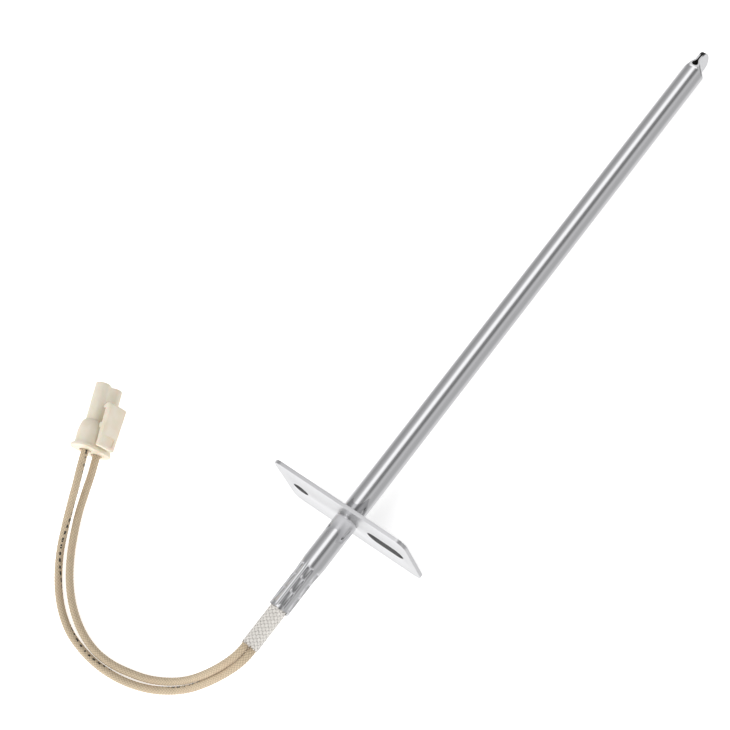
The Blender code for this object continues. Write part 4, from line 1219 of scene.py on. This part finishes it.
pad = plate("thumb_pad", [rounded_rectangle(*PAD_SIZE, PAD_CORNER, 10)], PAD_THICKNESS)
pad.data.transform(Matrix.Rotation(pi / 2, 4, "X"))
moved(pad, 0, latch_high + PAD_RAISE, LATCH_REAR + PAD_TO_REAR)
latch = combine(latch, [pad], "DIFFERENCE")
shade_round(latch.data, 32)
latch_place = PLUG_PLACE @ Matrix.Translation((0, REAR_BODY_RADIUS, LATCH_PIVOT))
finish_piece(latch, latch_place, NYLON, "latch", "plug_latch")

# %% Terminals
TERMINAL_WALL = 0.15 * MM
SOCKET_RADIUS = 1.2 * MM
WAIST_RADIUS = 0.7 * MM
INSULATION_GRIP_RADIUS = 1.35 * MM
CONDUCTOR_GRIP_RADIUS = 0.8 * MM
CONDUCTOR_BORE_RADIUS = 0.5 * MM
TERMINAL_SETBACK = 0.9 * MM
GRIP_START = 1.6 * MM
INSULATION_GRIP_LENGTH = 3.0 * MM
CONDUCTOR_GRIP_LENGTH = 2.6 * MM
terminal_front = PLUG_LENGTH - TERMINAL_SETBACK
jacket_end = GRIP_START + INSULATION_GRIP_LENGTH
conductor_end = jacket_end + CONDUCTOR_GRIP_LENGTH
waist_end = conductor_end + 2 * WAIST_RADIUS
socket_bore = SOCKET_RADIUS - TERMINAL_WALL
grip_bore = INSULATION_GRIP_RADIUS - TERMINAL_WALL
terminal_profile = [
    (0, waist_end), (socket_bore, waist_end), (socket_bore, terminal_front), (SOCKET_RADIUS, terminal_front),
    (SOCKET_RADIUS, waist_end - WAIST_RADIUS), (WAIST_RADIUS, waist_end - 2 * WAIST_RADIUS),
    (CONDUCTOR_GRIP_RADIUS, jacket_end + TERMINAL_WALL), (INSULATION_GRIP_RADIUS, jacket_end),
    (INSULATION_GRIP_RADIUS, GRIP_START), (grip_bore, GRIP_START), (grip_bore, jacket_end - TERMINAL_WALL),
    (CONDUCTOR_BORE_RADIUS, jacket_end - TERMINAL_WALL),
    (CONDUCTOR_BORE_RADIUS, conductor_end - TERMINAL_WALL), (0, conductor_end - TERMINAL_WALL),
]
for side, sign in (("a", 1), ("b", -1)):
    terminal = moved(turned(f"terminal_{side}_fine", terminal_profile, 64), sign * PLUG_PITCH / 2)
    shade_round(terminal.data)
    finish_piece(terminal, PLUG_PLACE, TINNED, "probe", f"terminal_{side}")

# %% [markdown]
# ## The pieces inside
# The rest stays hidden inside the tube: a platinum chip in cement at the tip, two fine wires, two crimp
# barrels in a two-bore insulator, and the leads' straight parts. Their CAD shapes are kept, and each takes
# a finish of its own, so that the model can be opened or cut and still look right.

# %% Finishes for the inner pieces
CHIP_CERAMIC = mineral("white_alumina_chip", (0.86, 0.86, 0.83), (0.78, 0.78, 0.75), 1800.0, 0.45)
BORE_CERAMIC = mineral("alumina_insulator", (0.84, 0.82, 0.76), (0.74, 0.72, 0.66), 600.0, 0.6)
CEMENT = mineral("ceramic_cement", (0.72, 0.70, 0.65), (0.52, 0.50, 0.46), 900.0, 0.9, relief=0.06 * MM)
INNER_FINISHES = {"sensing_element": CHIP_CERAMIC, "splice_insulator": BORE_CERAMIC, "tip_potting": CEMENT}
for side, sign in (("a", 1), ("b", -1)):
    held = braid_material(f"beige_braid_held_{side}", held_offset=sign * LEAD_OFFSET)
    INNER_FINISHES[f"lead_{side}_held"] = held
    INNER_FINISHES[f"splice_barrel_{side}"] = TINNED
    for name in (f"element_wire_{side}", f"conductor_{side}_inner", f"conductor_{side}_plug"):
        INNER_FINISHES[name] = NICKEL
for name, finish in INNER_FINISHES.items():
    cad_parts[name].data.materials[0] = finish
print(len(INNER_FINISHES), "inner pieces finished")

# %% [markdown]
# ## Floor and light
# A plain pale floor and a large soft light from above suit a bright metal part. A polished tube shows its
# surroundings as stripes along its length: the room is made in bands round the tube, a bright band gives the
# bright stripe, a dark band beside it gives the thin dark one, and the grey of the room fills the rest.

# %% Floor, room and lights
HALF_FLOOR = 4.0
FLOOR_DROP = 0.2 * MM
FLOOR_GLOW = 0.55
floor_mesh = bpy.data.meshes.new("floor")
corners = [(x * HALF_FLOOR, y * HALF_FLOOR, 0) for y in (-1, 1) for x in (-1, 1)]
floor_mesh.from_pydata(corners, [], [(0, 1, 3, 2)])
floor = new_object("floor", floor_mesh)
floor.location = (0, 0, -FLOOR_DROP)
floor_values = {"Base Color": (0.93, 0.93, 0.93, 1), "Roughness": 0.9, "Specular IOR Level": 0.1}
floor_values.update({"Emission Color": (1, 1, 1, 1), "Emission Strength": FLOOR_GLOW})
floor_mesh.materials.append(new_material("pale_floor", floor_values)[0])

# The tube reflects the room alone, so its stripes stay clean
floor.visible_glossy = False
bpy.context.scene.view_settings.view_transform = "Standard"

TUBE_AXIS = (PROBE.to_3x3() @ Vector((0, 1, 0))).normalized()
TOWARDS_CAMERA = (-CAMERA_LOOKS + TUBE_AXIS * CAMERA_LOOKS.dot(TUBE_AXIS)).normalized()
TO_THE_RIGHT = TUBE_AXIS.cross(TOWARDS_CAMERA)
if TO_THE_RIGHT.dot(camera_right) < 0:
    TO_THE_RIGHT.negate()

# Angle round the tube from above the camera, in degrees, and how bright the room is there
ROOM_BANDS = (
    (-180, 1.15), (-140, 1.10), (-118, 0.66), (-100, 0.46), (-75, 0.52), (-60, 0.66), (-50, 1.0), (-42, 1.6),
    (-22, 1.6), (-15, 0.75), (-8, 0.36), (2, 0.27), (12, 0.30), (22, 0.70), (34, 0.82), (50, 0.66),
    (70, 0.63), (88, 0.66), (103, 0.86), (120, 1.05), (180, 1.05),
)
# Walls across the room's two ends: where each starts and ends along the tube's axis, and how bright it is
REAR_WALL = (-0.30, -0.55, 1.6)
FRONT_WALL = (0.55, 0.80, 0.15)


def band_ramp(tree, share, bands):
    ramp = add_node(tree, "ShaderNodeValToRGB", {0: share})
    stops = ramp.color_ramp.elements
    for number, (degree, level) in enumerate(bands):
        place = degree / 360 + 0.5
        stop = stops[number] if number < 2 else stops.new(place)
        stop.position = place
        stop.color = (level, level, level * 1.005, 1)
    return ramp.outputs["Color"]


def build_room():
    world = bpy.data.worlds.new("room")
    world.use_nodes = True
    tree = world.node_tree
    tree.nodes.clear()
    way = add_node(tree, "ShaderNodeTexCoord").outputs["Generated"]
    parts = [
        add_node(tree, "ShaderNodeVectorMath", {0: way, 1: axis}, operation="DOT_PRODUCT").outputs["Value"]
        for axis in (TOWARDS_CAMERA, TO_THE_RIGHT, TUBE_AXIS)
    ]
    angle = math("ARCTAN2", parts[1], parts[0])
    share = times_plus(angle, 1 / (2 * pi), 0.5)
    colour = band_ramp(tree, share, ROOM_BANDS)
    for start, end, level in (REAR_WALL, FRONT_WALL):
        colour = mix_colour(between(parts[2], start, end), colour, (level, level, level, 1))
    seen = add_node(tree, "ShaderNodeLightPath").outputs["Is Camera Ray"]
    colour = mix_colour(seen, colour, (1, 1, 1, 1))
    light = add_node(tree, "ShaderNodeBackground", {"Color": colour, "Strength": 1.0}).outputs[0]
    add_node(tree, "ShaderNodeOutputWorld", {"Surface": light})
    return world


bpy.context.scene.world = build_room()
print("room with", len(ROOM_BANDS), "bands round the tube")
